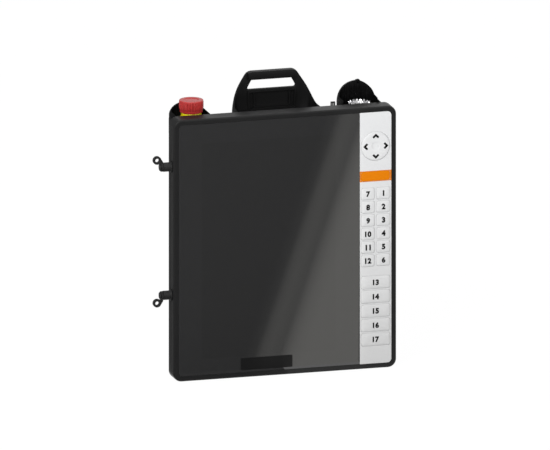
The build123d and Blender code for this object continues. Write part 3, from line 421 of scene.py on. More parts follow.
# The finish of every CAD node, whether it shows or is replaced
NODE_FINISHES: dict[str, Finish] = {
    node: finish
    for finish, nodes in (
        (FRAME_BLACK, "front_frame"),
        (PANEL_GLASS, "touch_glass"),
        (PLATE_BLACK, "blank_plate"),
        (DISPLAY_CASE, "lcd_module"),
        (SHEET_STEEL, "lcd_brackets"),
        (CIRCUIT_BOARD, "main_board keypad_board"),
        (SCREW_STEEL, "board_screws housing_screws handle_screws"),
        (SEAL_RUBBER, "housing_gasket keymat gland_seal"),
        (KEYPAD_GREY, "keypad_panel"),
        (KEY_WHITE, "nav_disc " + " ".join(f"key_{number}" for number in range(1, 18))),
        (KEY_ORANGE, "operator_key"),
        (HOUSING_BLACK, "rear_housing hand_grip_left hand_grip_right"),
        (BUTTON_RUBBER, "enabling_button_left enabling_button_right"),
        (SWITCH_BLACK, "nav_pivot enabling_switch_left enabling_switch_right stylus_well"),
        (SWITCH_BLACK, "stop_nut stop_contact_block key_switch_nut key_contact_block"),
        (COLLAR_YELLOW, "stop_base"),
        (CAP_RED, "stop_cap"),
        (BARREL_STEEL, "stop_stem key_barrel"),
        (RING_CHROME, "key_switch_bezel"),
        (GUARD_BLACK, "stop_guard key_guard"),
        (HANDLE_BLACK, "hanging_handle"),
        (STYLUS_BLACK, "stylus"),
        (GLAND_BLACK, "gland_body gland_cap"),
        (POST_STEEL, "strap_posts upper_strap_eyelet lower_strap_eyelet"),
    )
    for node in nodes.split()
}


def dress_cad_nodes() -> None:
    """Gives every CAD node its finish in place of the plain packed material."""
    for number, material in enumerate(list(bpy.data.materials)):
        material.name = f"packed_{number}"
    for name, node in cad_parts.items():
        node.data.materials.clear()
        node.data.materials.append(NODE_FINISHES[name].build())


# Modelling helpers


def axis_point(node: str, height: float) -> Vector:
    """Finds the point on a node's upright middle axis at a height.

    Args:
        node: The CAD node.
        height: The height in metres.

    Returns:
        The point.
    """
    low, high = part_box(node)
    return Vector(((low.x + high.x) / 2, (low.y + high.y) / 2, height))


class Bench:
    """Holds the modelling steps that the sub-assemblies share."""

    sharp = 35.0
    weld = 0.00002
    lathe_weld = 0.00001

    @staticmethod
    def clear() -> None:
        """Leaves edit mode and deselects everything."""
        if bpy.context.mode != "OBJECT":
            bpy.ops.object.mode_set(mode="OBJECT")
        bpy.ops.object.select_all(action="DESELECT")

    @classmethod
    def take(cls, piece: Piece) -> Piece:
        """Selects one object alone and makes it active."""
        cls.clear()
        piece.select_set(True)
        bpy.context.view_layer.objects.active = piece
        return piece

    @staticmethod
    def made(name: str) -> Piece:
        """Names the object that an operator has just added."""
        piece = bpy.context.object
        piece.name = piece.data.name = name
        return piece

    @staticmethod
    @contextmanager
    def editing() -> Iterator[None]:
        """Keeps the active object in edit mode, with all of it selected at first.

        Returns:
            Nothing, once for the block that edits.
        """
        bpy.ops.object.mode_set(mode="EDIT")
        bpy.ops.mesh.select_all(action="SELECT")
        yield
        bpy.ops.object.mode_set(mode="OBJECT")

    @classmethod
    def place_mesh(cls, name: str, mesh: bpy.types.Mesh) -> Piece:
        """Puts a mesh into the scene as a new active object.

        Args:
            name: The object's name.
            mesh: Its mesh.

        Returns:
            The new object.
        """
        cls.clear()
        mesh.name = name
        piece = bpy.data.objects.new(name, mesh)
        bpy.context.scene.collection.objects.link(piece)
        return cls.take(piece)

    @classmethod
    def from_outline(cls, name: str, points: Sequence[Vector], closed: bool = True) -> Piece:
        """Makes a flat face, or an open chain of edges, from points.

        Args:
            name: The new object's name.
            points: The points in order.
            closed: Whether the points bound a face.

        Returns:
            The new object.
        """
        order = range(len(points))
        edges = [] if closed else list(zip(order, order[1:]))
        mesh = bpy.data.meshes.new(name)
        mesh.from_pydata([tuple(p) for p in points], edges, [tuple(order)] if closed else [])
        return cls.place_mesh(name, mesh)

    @classmethod
    def block(cls, name: str, middle: Sequence[float], size: Sequence[float]) -> Piece:
        """Adds a box to start a piece from.

        Args:
            name: The new object's name.
            middle: The box's middle.
            size: Its width, depth and height.

        Returns:
            The new object.
        """
        cls.clear()
        bpy.ops.mesh.primitive_cube_add(size=1.0, location=middle, scale=size)
        return cls.settle(cls.made(name))

    @classmethod
    def lathe(
        cls, name: str, profile: Pairs, centre: Vector, axis: Vector, steps: int = 64
    ) -> Piece:
        """Spins a profile into a closed turned piece.

        Args:
            name: The new object's name.
            profile: Pairs of radius and height along the axis, in millimetres.
            centre: The point on the axis at height nought.
            axis: The unit axis.
            steps: How many steps the full turn has.

        Returns:
            The turned piece, with its normals pointing out.
        """
        side = axis.orthogonal().normalized()
        points = [centre + side * (r * MM) + axis * (h * MM) for r, h in profile]
        piece = cls.from_outline(name, points, closed=False)
        with cls.editing():
            bpy.ops.mesh.spin(steps=steps, angle=math.tau, center=centre, axis=axis)
            bpy.ops.mesh.select_all(action="SELECT")
            bpy.ops.mesh.remove_doubles(threshold=cls.lathe_weld)
            bpy.ops.mesh.normals_make_consistent(inside=False)
        return piece

    @classmethod
    def slab(cls, name: str, outline: Pairs, corner: Vector, depth: float, edge: float) -> Piece:
        """Gives an outline that faces the front a depth and rounded edges.

        Args:
            name: The new object's name.
            outline: Pairs of X and Z from the corner, in millimetres.
            corner: The place of the outline's nought.
            depth: How far it reaches back, in millimetres.
            edge: How wide the rounding is, in millimetres.

        Returns:
            The slab.
        """
        points = [corner + Vector((x * MM, 0.0, z * MM)) for x, z in outline]
        piece = cls.from_outline(name, points)
        back = {"value": BACKWARDS * (depth * MM)}
        with cls.editing():
            bpy.ops.mesh.extrude_region_move(TRANSFORM_OT_translate=back)
            bpy.ops.mesh.select_all(action="SELECT")
            bpy.ops.mesh.normals_make_consistent(inside=False)
        cls.bevel(piece, edge * MM)
        cls.smooth(piece)
        return piece

    @classmethod
    def copy_of(cls, node: str, name: str) -> Piece:
        """Copies a CAD node's mesh into a new object and merges its loose triangles.

        Args:
            node: The CAD node.
            name: The new object's name.

        Returns:
            The copy.
        """
        piece = cls.place_mesh(name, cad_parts[node].data.copy())
        with cls.editing():
            bpy.ops.mesh.remove_doubles(threshold=cls.weld)
        if piece.data.has_custom_normals:
            bpy.ops.mesh.customdata_custom_splitnormals_clear()
        return piece

    @staticmethod
    def select(piece: Piece, part: MeshPart, test: Callable[..., bool]) -> None:
        """Selects, in edit mode, the parts of a mesh that pass a test.

        Args:
            piece: The object, already in edit mode.
            part: What is selected.
            test: Says whether a vertex, edge or face is wanted.
        """
        bpy.ops.mesh.select_mode(type=part.name)
        bpy.ops.mesh.select_all(action="DESELECT")
        mesh = bmesh.from_edit_mesh(piece.data)
        for found in [item for item in getattr(mesh, part.value) if test(item)]:
            found.select_set(True)
        bmesh.update_edit_mesh(piece.data)

    @classmethod
    def press_columns(
        cls,
        piece: Piece,
        steps: int,
        centre: Vector,
        base: Vector,
        scale: Place,
        wanted: Callable[[int, Vector], bool],
    ) -> None:
        """Scales some of the upright columns of a turned piece about a point.

        Args:
            piece: The turned piece.
            steps: How many columns its full turn has.
            centre: The point on its axis that the arms are measured from.
            base: The point that the columns are scaled about.
            scale: The scale.
            wanted: Says by its column and its arm whether a vertex moves.
        """

        def test(vert: bmesh.types.BMVert) -> bool:
            """Passes a vertex's column and arm on."""
            arm = vert.co - centre
            return wanted(round(math.atan2(arm.y, arm.x) * steps / math.tau), arm)

        cls.take(piece)
        with cls.editing():
            cls.select(piece, MeshPart.VERT, test)
            bpy.ops.transform.resize(value=scale, center_override=base)

    @classmethod
    def modify(cls, piece: Piece, kind: str, **settings: object) -> None:
        """Adds a modifier, sets it and applies it.

        Args:
            piece: The object.
            kind: The modifier's type.
            settings: The modifier's own settings.
        """
        cls.take(piece)
        step = piece.modifiers.new(kind.lower(), kind)
        for name, value in settings.items():
            setattr(step, name, value)
        bpy.ops.object.modifier_apply(modifier=step.name)

    @classmethod
    def bevel(cls, piece: Piece, width: float, segments: int = 3) -> None:
        """Rounds every sharp edge.

        Args:
            piece: The object.
            width: The rounding's width.
            segments: How many segments it has.
        """
        limit = {"limit_method": "ANGLE", "angle_limit": math.radians(cls.sharp)}
        cls.modify(piece, "BEVEL", width=width, segments=segments, **limit)

    @classmethod
    def smooth(cls, piece: Piece, angle: float = sharp) -> None:
        """Shades a piece smooth up to an angle in degrees."""
        cls.take(piece)
        bpy.ops.object.shade_smooth_by_angle(angle=math.radians(angle))

    @classmethod
    def settle(cls, piece: Piece) -> Piece:
        """Puts an object's place into its mesh, so that the object is at the origin."""
        cls.take(piece)
        bpy.ops.object.transform_apply(location=True, rotation=True, scale=True)
        return piece

    @staticmethod
    def finish(piece: Piece, finish: Finish, body: str, *replaced: str) -> Piece:
        """Gives a piece its material, its body and the nodes it stands for.

        Args:
            piece: The piece.
            finish: Its finish.
            body: The CAD body that it rides on.
            replaced: The CAD nodes that it replaces.

        Returns:
            The piece.
        """
        piece.data.materials.clear()
        piece.data.materials.append(finish.build())
        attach(piece, body)
        if replaced:
            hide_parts(*replaced)
        LOG.info("%s rides on %s", piece.name, body)
        return piece


# Studio


@dataclass(frozen=True)
class Card:
    """A card that only glossy rays see, with its place, size and brightness."""

    name: str
    place: Place
    size: tuple[float, float]
    upright: bool
    level: float = 0.0

    def hang(self) -> Graph:
        """Adds the card without a surface shader.

        Returns:
            The graph of its material.
        """
        Bench.clear()
        tilt = math.pi / 2 if self.upright else 0.0
        bpy.ops.mesh.primitive_plane_add(size=1.0, location=self.place, rotation=(tilt, 0, 0))
        card = Bench.made(self.name)
        card.scale = (*self.size, 1.0)
        Bench.settle(card)
        material = bpy.data.materials.new(self.name)
        material.use_nodes = True
        material.node_tree.nodes.remove(material.node_tree.nodes["Principled BSDF"])
        card.data.materials.append(material)
        for rays in ("camera", "diffuse", "shadow", "transmission"):
            setattr(card, f"visible_{rays}", False)
        return Graph(material.node_tree)


@dataclass
class Studio:
    """The camera, the floor, the world, the lamps and the cards that gloss mirrors."""

    azimuth: float = -15.9
    elevation: float = 14.2
    distance: float = 2.0
    width: float = 0.6468
    aim: Place = (-0.0123, -0.01125, 0.1824)
    lit: Place = (0.0, 0.0, 0.2)
    key_power: float = 18.6
    fill_power: float = 4.5
    ambient: float = 0.6
    floor_glow: float = 1.03
    floor_glow_share: float = 0.94
    shades: tuple[Card, ...] = (
        Card("back_card", (0.7, 0.24, 0.45), (1.6, 1.6), True, 0.9),
        Card("flank_card", (-0.8, 0.26, 0.45), (1.4, 1.6), True, 0.22),
        Card("foot_card", (-0.198, -0.162, 0.0012), (0.404, 0.3), False, 0.05),
        Card("arm_card", (-0.02, 0.235, 0.18), (0.16, 0.37), True, 0.22),
        Card("flank_floor", (-0.67, 0.7, 0.001), (1.06, 1.8), False, 0.22),
    )

    def build(self) -> None:
        """Sets up everything that isn't the object."""
        self._camera()
        self._world()
        self._floor()
        self._lamp("key", (-1.1, -1.35, 1.35), 0.9, self.key_power)
        self._lamp("fill", (0.7, -1.9, 0.6), 1.2, self.fill_power)
        GlassMirror().build()
        for card in self.shades:
            graph = card.hang()
            graph.show(graph.emit({"Strength": card.level}))
        bpy.context.scene.view_settings.view_transform = "Standard"

    @staticmethod
    def _aimed(name: str, data: bpy.types.ID, place: Vector, away: Vector) -> Piece:
        """Puts a camera or a lamp in its place and turns it.

        Args:
            name: The object's name.
            data: The camera or lamp.
            place: Where it stands.
            away: The direction that it looks away from.

        Returns:
            The object.
        """
        thing = bpy.data.objects.new(name, data)
        bpy.context.scene.collection.objects.link(thing)
        thing.location = place
        thing.rotation_mode = "QUATERNION"
        thing.rotation_quaternion = (-away).to_track_quat("-Z", "Y")
        return thing

    def _camera(self) -> None:
        """Places the camera at the photograph's viewing angle."""
        data = bpy.data.cameras.new("view")
        data.type = "ORTHO"
        data.ortho_scale = self.width
        data.clip_end = 20.0
        a, e = math.radians(self.azimuth), math.radians(self.elevation)
        back = Vector((math.sin(a) * math.cos(e), -math.cos(a) * math.cos(e), math.sin(e)))
        place = Vector(self.aim) + back * self.distance
        bpy.context.scene.camera = self._aimed("view", data, place, back)

    def _world(self) -> None:
        """Makes a world that looks white but lights the object gently."""
        world = bpy.data.worlds.new("studio")
        bpy.context.scene.world = world
        world.use_nodes = True
        graph = Graph(world.node_tree)
        background = graph.tree.nodes["Background"].inputs
        background["Color"].default_value = (1.0, 1.0, 1.0, 1.0)
        strength = graph.spread(graph.seen_directly(), (0.0, 1.0), (self.ambient, 1.0))
        graph.put(background["Strength"], strength)

    def _floor(self) -> None:
        """Lays a pale floor that stays white but keeps a little of the shadow."""
        Bench.clear()
        bpy.ops.mesh.primitive_plane_add(size=8.0, location=(0.0, 0.0, 0.0))
        floor = Bench.settle(Bench.made("floor"))
        material = bpy.data.materials.new("floor_pale")
        material.use_nodes = True
        graph = Graph(material.node_tree)
        shader = graph.tree.nodes["Principled BSDF"]
        pale = {"Base Color": (0.9, 0.9, 0.9, 1.0), "Roughness": 0.9, "Specular IOR Level": 0.0}
        for name, value in pale.items():
            shader.inputs[name].default_value = value
        glow = graph.emit({"Strength": self.floor_glow})
        share = graph.math("MULTIPLY", graph.seen_directly(), self.floor_glow_share)
        mix = graph.add("MixShader", {"Fac": share, 1: shader.outputs["BSDF"], 2: glow})
        graph.show(mix.outputs["Shader"])
        floor.data.materials.append(material)

    def _lamp(self, name: str, place: Place, size: float, power: float) -> None:
        """Adds a soft square lamp that faces the object.

        Args:
            name: The lamp's name.
            place: Where it stands.
            size: The side of its square.
            power: Its power in watts.
        """
        data = bpy.data.lights.new(name, "AREA")
        data.shape = "SQUARE"
        data.size = size
        data.energy = power
        away = Vector(place) - Vector(self.lit)
        self._aimed(name, data, Vector(place), away).visible_camera = False


@dataclass
class GlassMirror:
    """The card whose dark and bright halves the glass mirrors, with a slanted border."""

    card_y: float = -0.026
    size: tuple[float, float] = (0.36, 0.34)
    glass_y: float = -11.25 * MM
    glass_middle_z: float = 0.157
    ray: Place = (-0.272, -0.928, 0.254)
    border: Place = (0.0599, 0.0, 0.2844)
    slant: Place = (0.9447, 0.0, -0.328)
    border_reach: tuple[float, float] = (-0.02, 0.06)
    strength: float = 0.92
    keypad_strength: float = 0.12
    seam_shift: float = 4.0 * MM
    seam_width: float = 0.5 * MM
    warmth: Colour = (1.0, 0.985, 0.93)
    ends: Table = ((0.05, 0.0), (0.95, 1.05))
    stops: Table = ((0.2, 0.08), (0.31, 0.38), (0.41, 0.46), (0.58, 0.38), (0.68, 0.7)) + (
        (0.78, 0.92),
    )

    def build(self) -> None:
        """Hangs the card where the camera's rays meet it after the glass."""
        reach = (self.card_y - self.glass_y) / -self.ray[1]
        across, up = self.ray[0] * reach, self.ray[2] * reach
        middle = (across, self.card_y, self.glass_middle_z + up)
        graph = Card("mirror_card", middle, self.size, True).hang()
        place = graph.add("TexCoord").outputs["Object"]
        cross = graph.add("VectorMath", {0: place, 1: self.slant}, operation="DOT_PRODUCT")
        start = (Vector(self.border) + Vector((across, 0.0, up))).dot(Vector(self.slant))
        ends = (start + self.border_reach[0], start + self.border_reach[1])
        along = graph.spread(cross.outputs["Value"], ends)
        ramp = graph.add("ValToRGB", {"Fac": along})
        self._fill_ramp(ramp.color_ramp)
        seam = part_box("touch_glass")[1].x + across + self.seam_shift
        x = graph.add("SeparateXYZ", {"Vector": place}).outputs["X"]
        levels = (self.strength, self.keypad_strength)
        beside = graph.spread(x, (seam, seam + self.seam_width), levels)
        graph.show(graph.emit({"Color": ramp.outputs["Color"], "Strength": beside}))

    def _fill_ramp(self, ramp: bpy.types.ColorRamp) -> None:
        """Sets the brightness across the slanted border, from the ramp's own two stops on."""
        for number, (place, level) in enumerate(self.ends + self.stops):
            stop = ramp.elements[number] if number < 2 else ramp.elements.new(place)
            stop.position = place
            stop.color = (*(level * share for share in self.warmth), 1.0)


# The key column


class KeyForm(Enum):
    """Names the three key shapes, each with its crown's height in millimetres."""

    SMALL = 1.1
    WIDE = 1.15
    FLAT = 0.45


@dataclass
class Keypad:
    """The light key column with its pillow keys, plain numbers and rocking disc."""

    small_keys: int = 12
    keys: int = 17
    body_grow: float = 0.54 * MM
    flange_depth: float = 1.0 * MM
    flange_reach: float = 0.33 * MM
    corner: float = 2.65 * MM
    crown_rings: Table = ((0.4, 0.08), (0.7, 0.3), (1.1, 0.3), (1.6, 0.2), (1.7, 0.12))
    number_height: float = 6.9 * MM
    number_stroke: float = 0.055
    number_spacing: float = 1.06
    print_start: float = 5.0 * MM
    ink: float = 0.07 * MM
    band_height: float = 12.9 * MM
    band_gap: float = 0.35 * MM
    band_overlap: float = 0.25 * MM
    band_corner: float = 1.1 * MM
    band_depth: float = 0.08 * MM
    chevron_radius: float = 12.5
    face_y: float = 0.0

    def build(self) -> None:
        """Makes the keys with their numbers, the orange band and the disc."""
        self.face_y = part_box("keypad_panel")[0].y
        for number in range(1, self.keys + 1):
            form = KeyForm.SMALL if number <= self.small_keys else KeyForm.WIDE
            key = self._key(f"key_{number}", form, KEY_WHITE)
            self._number(number, key)
        self._key("operator_key", KeyForm.FLAT, KEY_ORANGE)
        self._band()
        self._chevrons(self._disc())

    def _key(self, node: str, form: KeyForm, finish: Finish) -> Piece:
        """Models one crowned key with the two tabs that hold it behind the panel.

        Args:
            node: The CAD node that it stands for, which is also its body.
            form: The key's shape.
            finish: Its finish.

        Returns:
            The key.
        """
        low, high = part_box(node)
        middle = (low + high) / 2
        tab = high.y - self.flange_depth
        width = high.x - low.x + self.body_grow
        height = high.z - low.z - 2 * self.flange_reach
        key = Bench.block(
            f"{node}_pillow",
            (middle.x, (self.face_y + tab) / 2, middle.z),
            (width, tab - self.face_y, height),
        )
        back = {"value": (0.0, self.flange_depth, 0.0)}
        out = {"value": self.flange_reach}
        with Bench.editing():
            Bench.select(
                key,
                MeshPart.EDGE,
                lambda e: abs((e.verts[0].co - e.verts[1].co).normalized().y) > 0.9,
            )
            bpy.ops.mesh.bevel(offset=self.corner, segments=5)
            Bench.select(key, MeshPart.FACE, lambda f: f.normal.y > 0.9)
            bpy.ops.mesh.extrude_region_move(TRANSFORM_OT_translate=back)
            Bench.select(
                key,
                MeshPart.FACE,
                lambda f: abs(f.normal.z) > 0.99 and f.calc_center_median().y > tab,
            )
            bpy.ops.mesh.extrude_region_shrink_fatten(TRANSFORM_OT_shrink_fatten=out)
            self._crown(key, form)
        Bench.modify(key, "SUBSURF", levels=1, render_levels=1)
        Bench.smooth(key, 50.0)
        return Bench.finish(key, finish, node, node)

    def _crown(self, key: Piece, form: KeyForm) -> None:
        """Raises the front face in soft rings, in edit mode.

        Args:
            key: The key being edited.
            form: Its shape, whose value is the crown's height.
        """
        Bench.select(key, MeshPart.FACE, lambda f: f.normal.y < -0.9)
        low = Vector([min(v.co[i] for v in key.data.vertices) for i in range(3)])
        high = Vector([max(v.co[i] for v in key.data.vertices) for i in range(3)])
        middle = (low + high) / 2
        width, height = high.x - low.x, high.z - low.z
        for inset, share in self.crown_rings:
            step = 2 * inset * MM
            bpy.ops.mesh.extrude_region_move()
            bpy.ops.transform.resize(
                value=((width - step) / width, 1.0, (height - step) / height),
                center_override=middle,
            )
            width, height = width - step, height - step
            bpy.ops.transform.translate(value=(0.0, -form.value * share * MM, 0.0))

    def _number(self, number: int, key: Piece) -> None:
        """Prints a plain number on a key.

        Args:
            number: The number.
            key: The key that carries it.
        """
        Bench.clear()
        bpy.ops.object.text_add(location=(0.0, 0.0, 0.0))
        text = bpy.context.object.data
        text.body = str(number)
        text.align_x = text.align_y = "CENTER"
        text.offset = self.number_stroke
        text.space_character = self.number_spacing
        text.resolution_u = 6
        bpy.ops.object.convert(target="MESH")
        label = Bench.made(f"number_{number}")
        with Bench.editing():
            bpy.ops.mesh.quads_convert_to_tris()
            bpy.ops.mesh.subdivide(number_cuts=3)
        size = self.number_height / label.dimensions.y
        label.scale = (size, size, size)
        label.rotation_euler = (math.pi / 2, 0.0, 0.0)
        Bench.settle(label)
        low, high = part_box(f"key_{number}")
        target = (low + high) / 2
        target.y = self.face_y - self.print_start
        label.location = target - (Vector(label.bound_box[0]) + Vector(label.bound_box[6])) / 2
        Bench.settle(label)
        self._print(label, key, f"key_{number}")

    def _print(self, mark: Piece, carrier: Piece, body: str) -> None:
        """Wraps a flat mark onto the surface behind it and gives it a film's thickness.

        Args:
            mark: The flat mark, in front of the carrier.
            carrier: What it is printed on.
            body: The CAD body that it rides on.
        """
        wrap = {"target": carrier, "wrap_method": "PROJECT", "use_project_y": True}
        Bench.modify(mark, "SHRINKWRAP", offset=self.ink, **wrap)
        Bench.modify(mark, "SOLIDIFY", thickness=self.ink, offset=0.0)
        Bench.finish(mark, LEGEND_BLACK, body)

    def _band(self) -> None:
        """Fills the orange band out to the column's edges with thin printed strips."""
        low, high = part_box("operator_key")
        left, right = (corner.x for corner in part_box("keypad_panel"))
        middle, half = (low.z + high.z) / 2, self.band_height / 2
        foot, top = middle - half, middle + half
        hole = (high.z - low.z) / 2 - self.band_overlap
        under, over = middle - hole, middle + hole
        start, end = low.x - self.band_gap, high.x + self.band_gap
        areas = {
            "left": (left, start, foot, top),
            "right": (end, right, foot, top),
            "under": (start, end, foot, under),
            "over": (start, end, over, top),
        }
        size = self.band_corner
        for side, x in (("left", start), ("right", end - size)):
            areas[f"low_{side}"] = (x, x + size, under, under + size)
            areas[f"high_{side}"] = (x, x + size, over - size, over)
        depth = self.band_depth
        for name, (x0, x1, z0, z1) in areas.items():
            strip = Bench.block(
                f"orange_strip_{name}",
                ((x0 + x1) / 2, self.face_y - depth / 2, (z0 + z1) / 2),
                (x1 - x0, depth, z1 - z0),
            )
            Bench.bevel(strip, depth / 4, 2)
            Bench.finish(strip, KEY_ORANGE, "housing")

    def _disc(self) -> Piece:
        """Turns the rocking disc, with its soft rim and the dimple in its middle.

        Returns:
            The disc.
        """
        low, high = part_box("nav_disc")
        radius = (high.x - low.x) / 2 / MM + 0.2
        back = (self.face_y - high.y) / MM
        centre = (low + high) / 2
        centre.y = self.face_y
        profile = [(0.0, 0.25), (2.6, 0.28), (4.0, 0.42), (4.7, 0.66), (5.2, 0.86), (6.2, 0.96)]
        profile += [(9.5, 1.06), (13.0, 1.1), (15.2, 0.98), (16.4, 0.66), (17.0, 0.2)]
        profile += [(radius, -0.5), (radius, -1.0), (radius - 0.3, -1.3), (3.0, -1.3)]
        profile += [(3.0, back), (0.0, back)]
        disc = Bench.lathe("nav_disc_turned", profile, centre, -BACKWARDS, 96)
        Bench.smooth(disc, 40.0)
        return Bench.finish(disc, KEY_WHITE, "nav_disc", "nav_disc")

    def _chevrons(self, disc: Piece) -> None:
        """Prints the disc's four direction marks.

        Args:
            disc: The disc that carries them.
        """
        low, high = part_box("nav_disc")
        middle = (low + high) / 2
        middle.y = self.face_y - self.print_start
        r = self.chevron_radius
        outline = [(0, r + 2.8), (4.2, r - 1.3), (2.5, r - 3.1), (0, r - 0.6)]
        outline += [(-2.5, r - 3.1), (-4.2, r - 1.3)]
        for turn, name in enumerate(("up", "left", "down", "right")):
            c, s = math.cos(turn * math.pi / 2), math.sin(turn * math.pi / 2)
            points = [
                middle + Vector(((x * c - z * s) * MM, 0.0, (x * s + z * c) * MM))
                for x, z in outline
            ]
            mark = Bench.from_outline(f"chevron_{name}", points)
            with Bench.editing():
                bpy.ops.mesh.bevel(offset=0.45 * MM, segments=3, affect="VERTICES")
                bpy.ops.mesh.quads_convert_to_tris()
                bpy.ops.mesh.subdivide(number_cuts=2)
            self._print(mark, disc, "nav_disc")


# Moulded and machined pieces that keep their CAD form with softened edges


@dataclass(frozen=True)
class SoftPiece:
    """Says how one CAD node is copied and softened, with the rounding in millimetres."""

    node: str
    finish: Finish
    width: float
    body: str = "housing"
    flat: float = 0.6
    shade: float = 38.0

    def build(self) -> None:
        """Copies the node, joins its flat facets and rounds its sharp edges."""
        piece = Bench.copy_of(self.node, f"{self.node}_soft")
        with Bench.editing():
            bpy.ops.mesh.dissolve_limited(angle_limit=math.radians(self.flat))
            bpy.ops.mesh.select_all(action="SELECT")
            bpy.ops.mesh.normals_make_consistent(inside=False)
        self.reshape(piece)
        Bench.bevel(piece, self.width * MM)
        Bench.smooth(piece, self.shade)
        Bench.finish(piece, self.finish, self.body, self.node)

    def reshape(self, piece: Piece) -> None:
        """Gives subclasses a place to change the copy's form."""


@dataclass(frozen=True)
class FlankedPiece(SoftPiece):
    """A fitting on the housing's top whose flanks are drawn in or out by height.

    The shifts are pairs of a height above the housing's top and the shift outwards there,
    in millimetres.
    """

    shifts: Table = ()
    both: bool = True
    front_share: float = 0.0
    back_share: float = 1.0

    def reshape(self, piece: Piece) -> None:
        """Cuts the piece at each height of the list and moves its flanks there.

        Args:
            piece: The copy, before its edges are rounded.
        """
        low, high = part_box(self.node)
        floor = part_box("rear_housing")[1].z
        middle, half = (low.x + high.x) / 2, (high.x - low.x) / 2
        with Bench.editing():
            for rise, _ in self.shifts:
                bpy.ops.mesh.select_all(action="SELECT")
                cut = (0.0, 0.0, floor + rise * MM)
                bpy.ops.mesh.bisect(plane_co=cut, plane_no=UPWARDS)
        for vert in piece.data.vertices:
            side = (vert.co.x - middle) / half
            if side > 0 or self.both:
                depth = (vert.co.y - low.y) / (high.y - low.y)
                share = self.front_share + (self.back_share - self.front_share) * depth
                shift = self._shift_at((vert.co.z - floor) / MM) * MM
                vert.co.x += side * abs(side) * share * shift
        piece.data.update()

    def _shift_at(self, rise: float) -> float:
        """Reads the list of shifts at a height.

        Args:
            rise: The height above the housing's top, in millimetres.

        Returns:
            The outward shift there, in millimetres.
        """
        if rise <= self.shifts[0][0]:
            return self.shifts[0][1]
        for (foot, first), (top, last) in zip(self.shifts, self.shifts[1:]):
            if rise <= top:
                return first + (last - first) * (rise - foot) / (top - foot)
        return self.shifts[-1][1]


@dataclass(frozen=True)
class PlacedPlate(SoftPiece):
    """A stuck-on plate that sits a little beside its node's place, in millimetres."""

    move: tuple[float, float] = (0.0, 0.0)

    def reshape(self, piece: Piece) -> None:
        """Slides the copy over the glass."""
        with Bench.editing():
            bpy.ops.transform.translate(value=(self.move[0] * MM, 0.0, self.move[1] * MM))


class SubAssembly:
    """Builds a group of softened pieces, and whatever a subclass adds."""

    pieces: tuple[SoftPiece, ...] = ()

    def build(self) -> None:
        """Builds the softened pieces, then the extras."""
        for piece in self.pieces:
            piece.build()
        self.extras()

    def extras(self) -> None:
        """Gives subclasses a place for pieces of their own."""


class FrontUnit(SubAssembly):
    """The front frame, the glass and the bare plate."""

    pieces = (
        SoftPiece("front_frame", FRAME_BLACK, 0.35),
        SoftPiece("touch_glass", PANEL_GLASS, 0.25),
        PlacedPlate("blank_plate", PLATE_BLACK, 0.12, move=(-3.0, -3.9)),
    )


class RearUnit(SubAssembly):
    """The rear housing with its hand grips and the cable gland."""

    pieces = (
        SoftPiece("rear_housing", HOUSING_BLACK, 0.4),
        SoftPiece("hand_grip_left", HOUSING_BLACK, 0.5),
        SoftPiece("hand_grip_right", HOUSING_BLACK, 0.5),
        SoftPiece("enabling_button_left", BUTTON_RUBBER, 0.4, "enabling_button_left"),
        SoftPiece("enabling_button_right", BUTTON_RUBBER, 0.4, "enabling_button_right"),
        SoftPiece("gland_body", GLAND_BLACK, 0.4),
        SoftPiece("gland_cap", GLAND_BLACK, 0.4),
    )


class TopFittings(SubAssembly):
    """The guards, the hanging handle and the lock barrel, with sizes in millimetres."""

    pieces = (
        SoftPiece("stop_guard", GUARD_BLACK, 0.5),
        FlankedPiece(
            "key_guard",
            GUARD_BLACK,
            0.5,
            both=False,
            front_share=1.0,
            back_share=0.5,
            shifts=((5.0, 0.0), (8.4, -2.2), (10.9, -4.9), (12.8, -5.9), (15.5, -4.0))
            + ((18.8, -2.2), (29.0, 0.0)),
        ),
        FlankedPiece(
            "hanging_handle",
            HANDLE_BLACK,
            0.8,
            shifts=((0.0, -2.2), (15.0, 1.0), (19.0, 1.9), (32.0, 2.9), (44.0, 2.3), (47.5, 1.8)),
        ),
        SoftPiece("key_barrel", BARREL_STEEL, 0.25, "key_barrel"),
    )
    nib_radius: float = 2.6
    nib_edge: float = 0.3
    nib_shift: float = 4.1
    guard_wall: float = 3.0
    shoulder_start: Place = (-0.8, 2.0, 0.4)
    shoulder_depth: float = 27.0

    def extras(self) -> None:
        """Adds the key guard's nib and the housing's shoulder under the stop guard."""
        low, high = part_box("key_guard")
        radius, edge, wall = self.nib_radius, self.nib_edge, self.guard_wall
        centre = axis_point("key_guard", high.z + (edge - radius) * MM)
        centre.x += self.nib_shift * MM
        centre.y = high.y - wall * MM
        profile = [(0.0, 0.0), (radius - edge, 0.0), (radius, edge)]
        profile += [(radius, wall - edge), (radius - edge, wall), (0.0, wall)]
        nib = Bench.lathe("guard_nib", profile, centre, BACKWARDS, 32)
        Bench.smooth(nib)
        Bench.finish(nib, GUARD_BLACK, "housing")
        low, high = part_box("rear_housing")
        corner = Vector((low.x, low.y, high.z)) + Vector(self.shoulder_start) * MM
        outline = [(0.0, -19.0), (0.0, 0.0), (15.0, 0.0), (15.0, -8.0)]
        web = Bench.slab("housing_shoulder", outline, corner, self.shoulder_depth, 0.5)
        Bench.finish(web, HOUSING_BLACK, "housing")


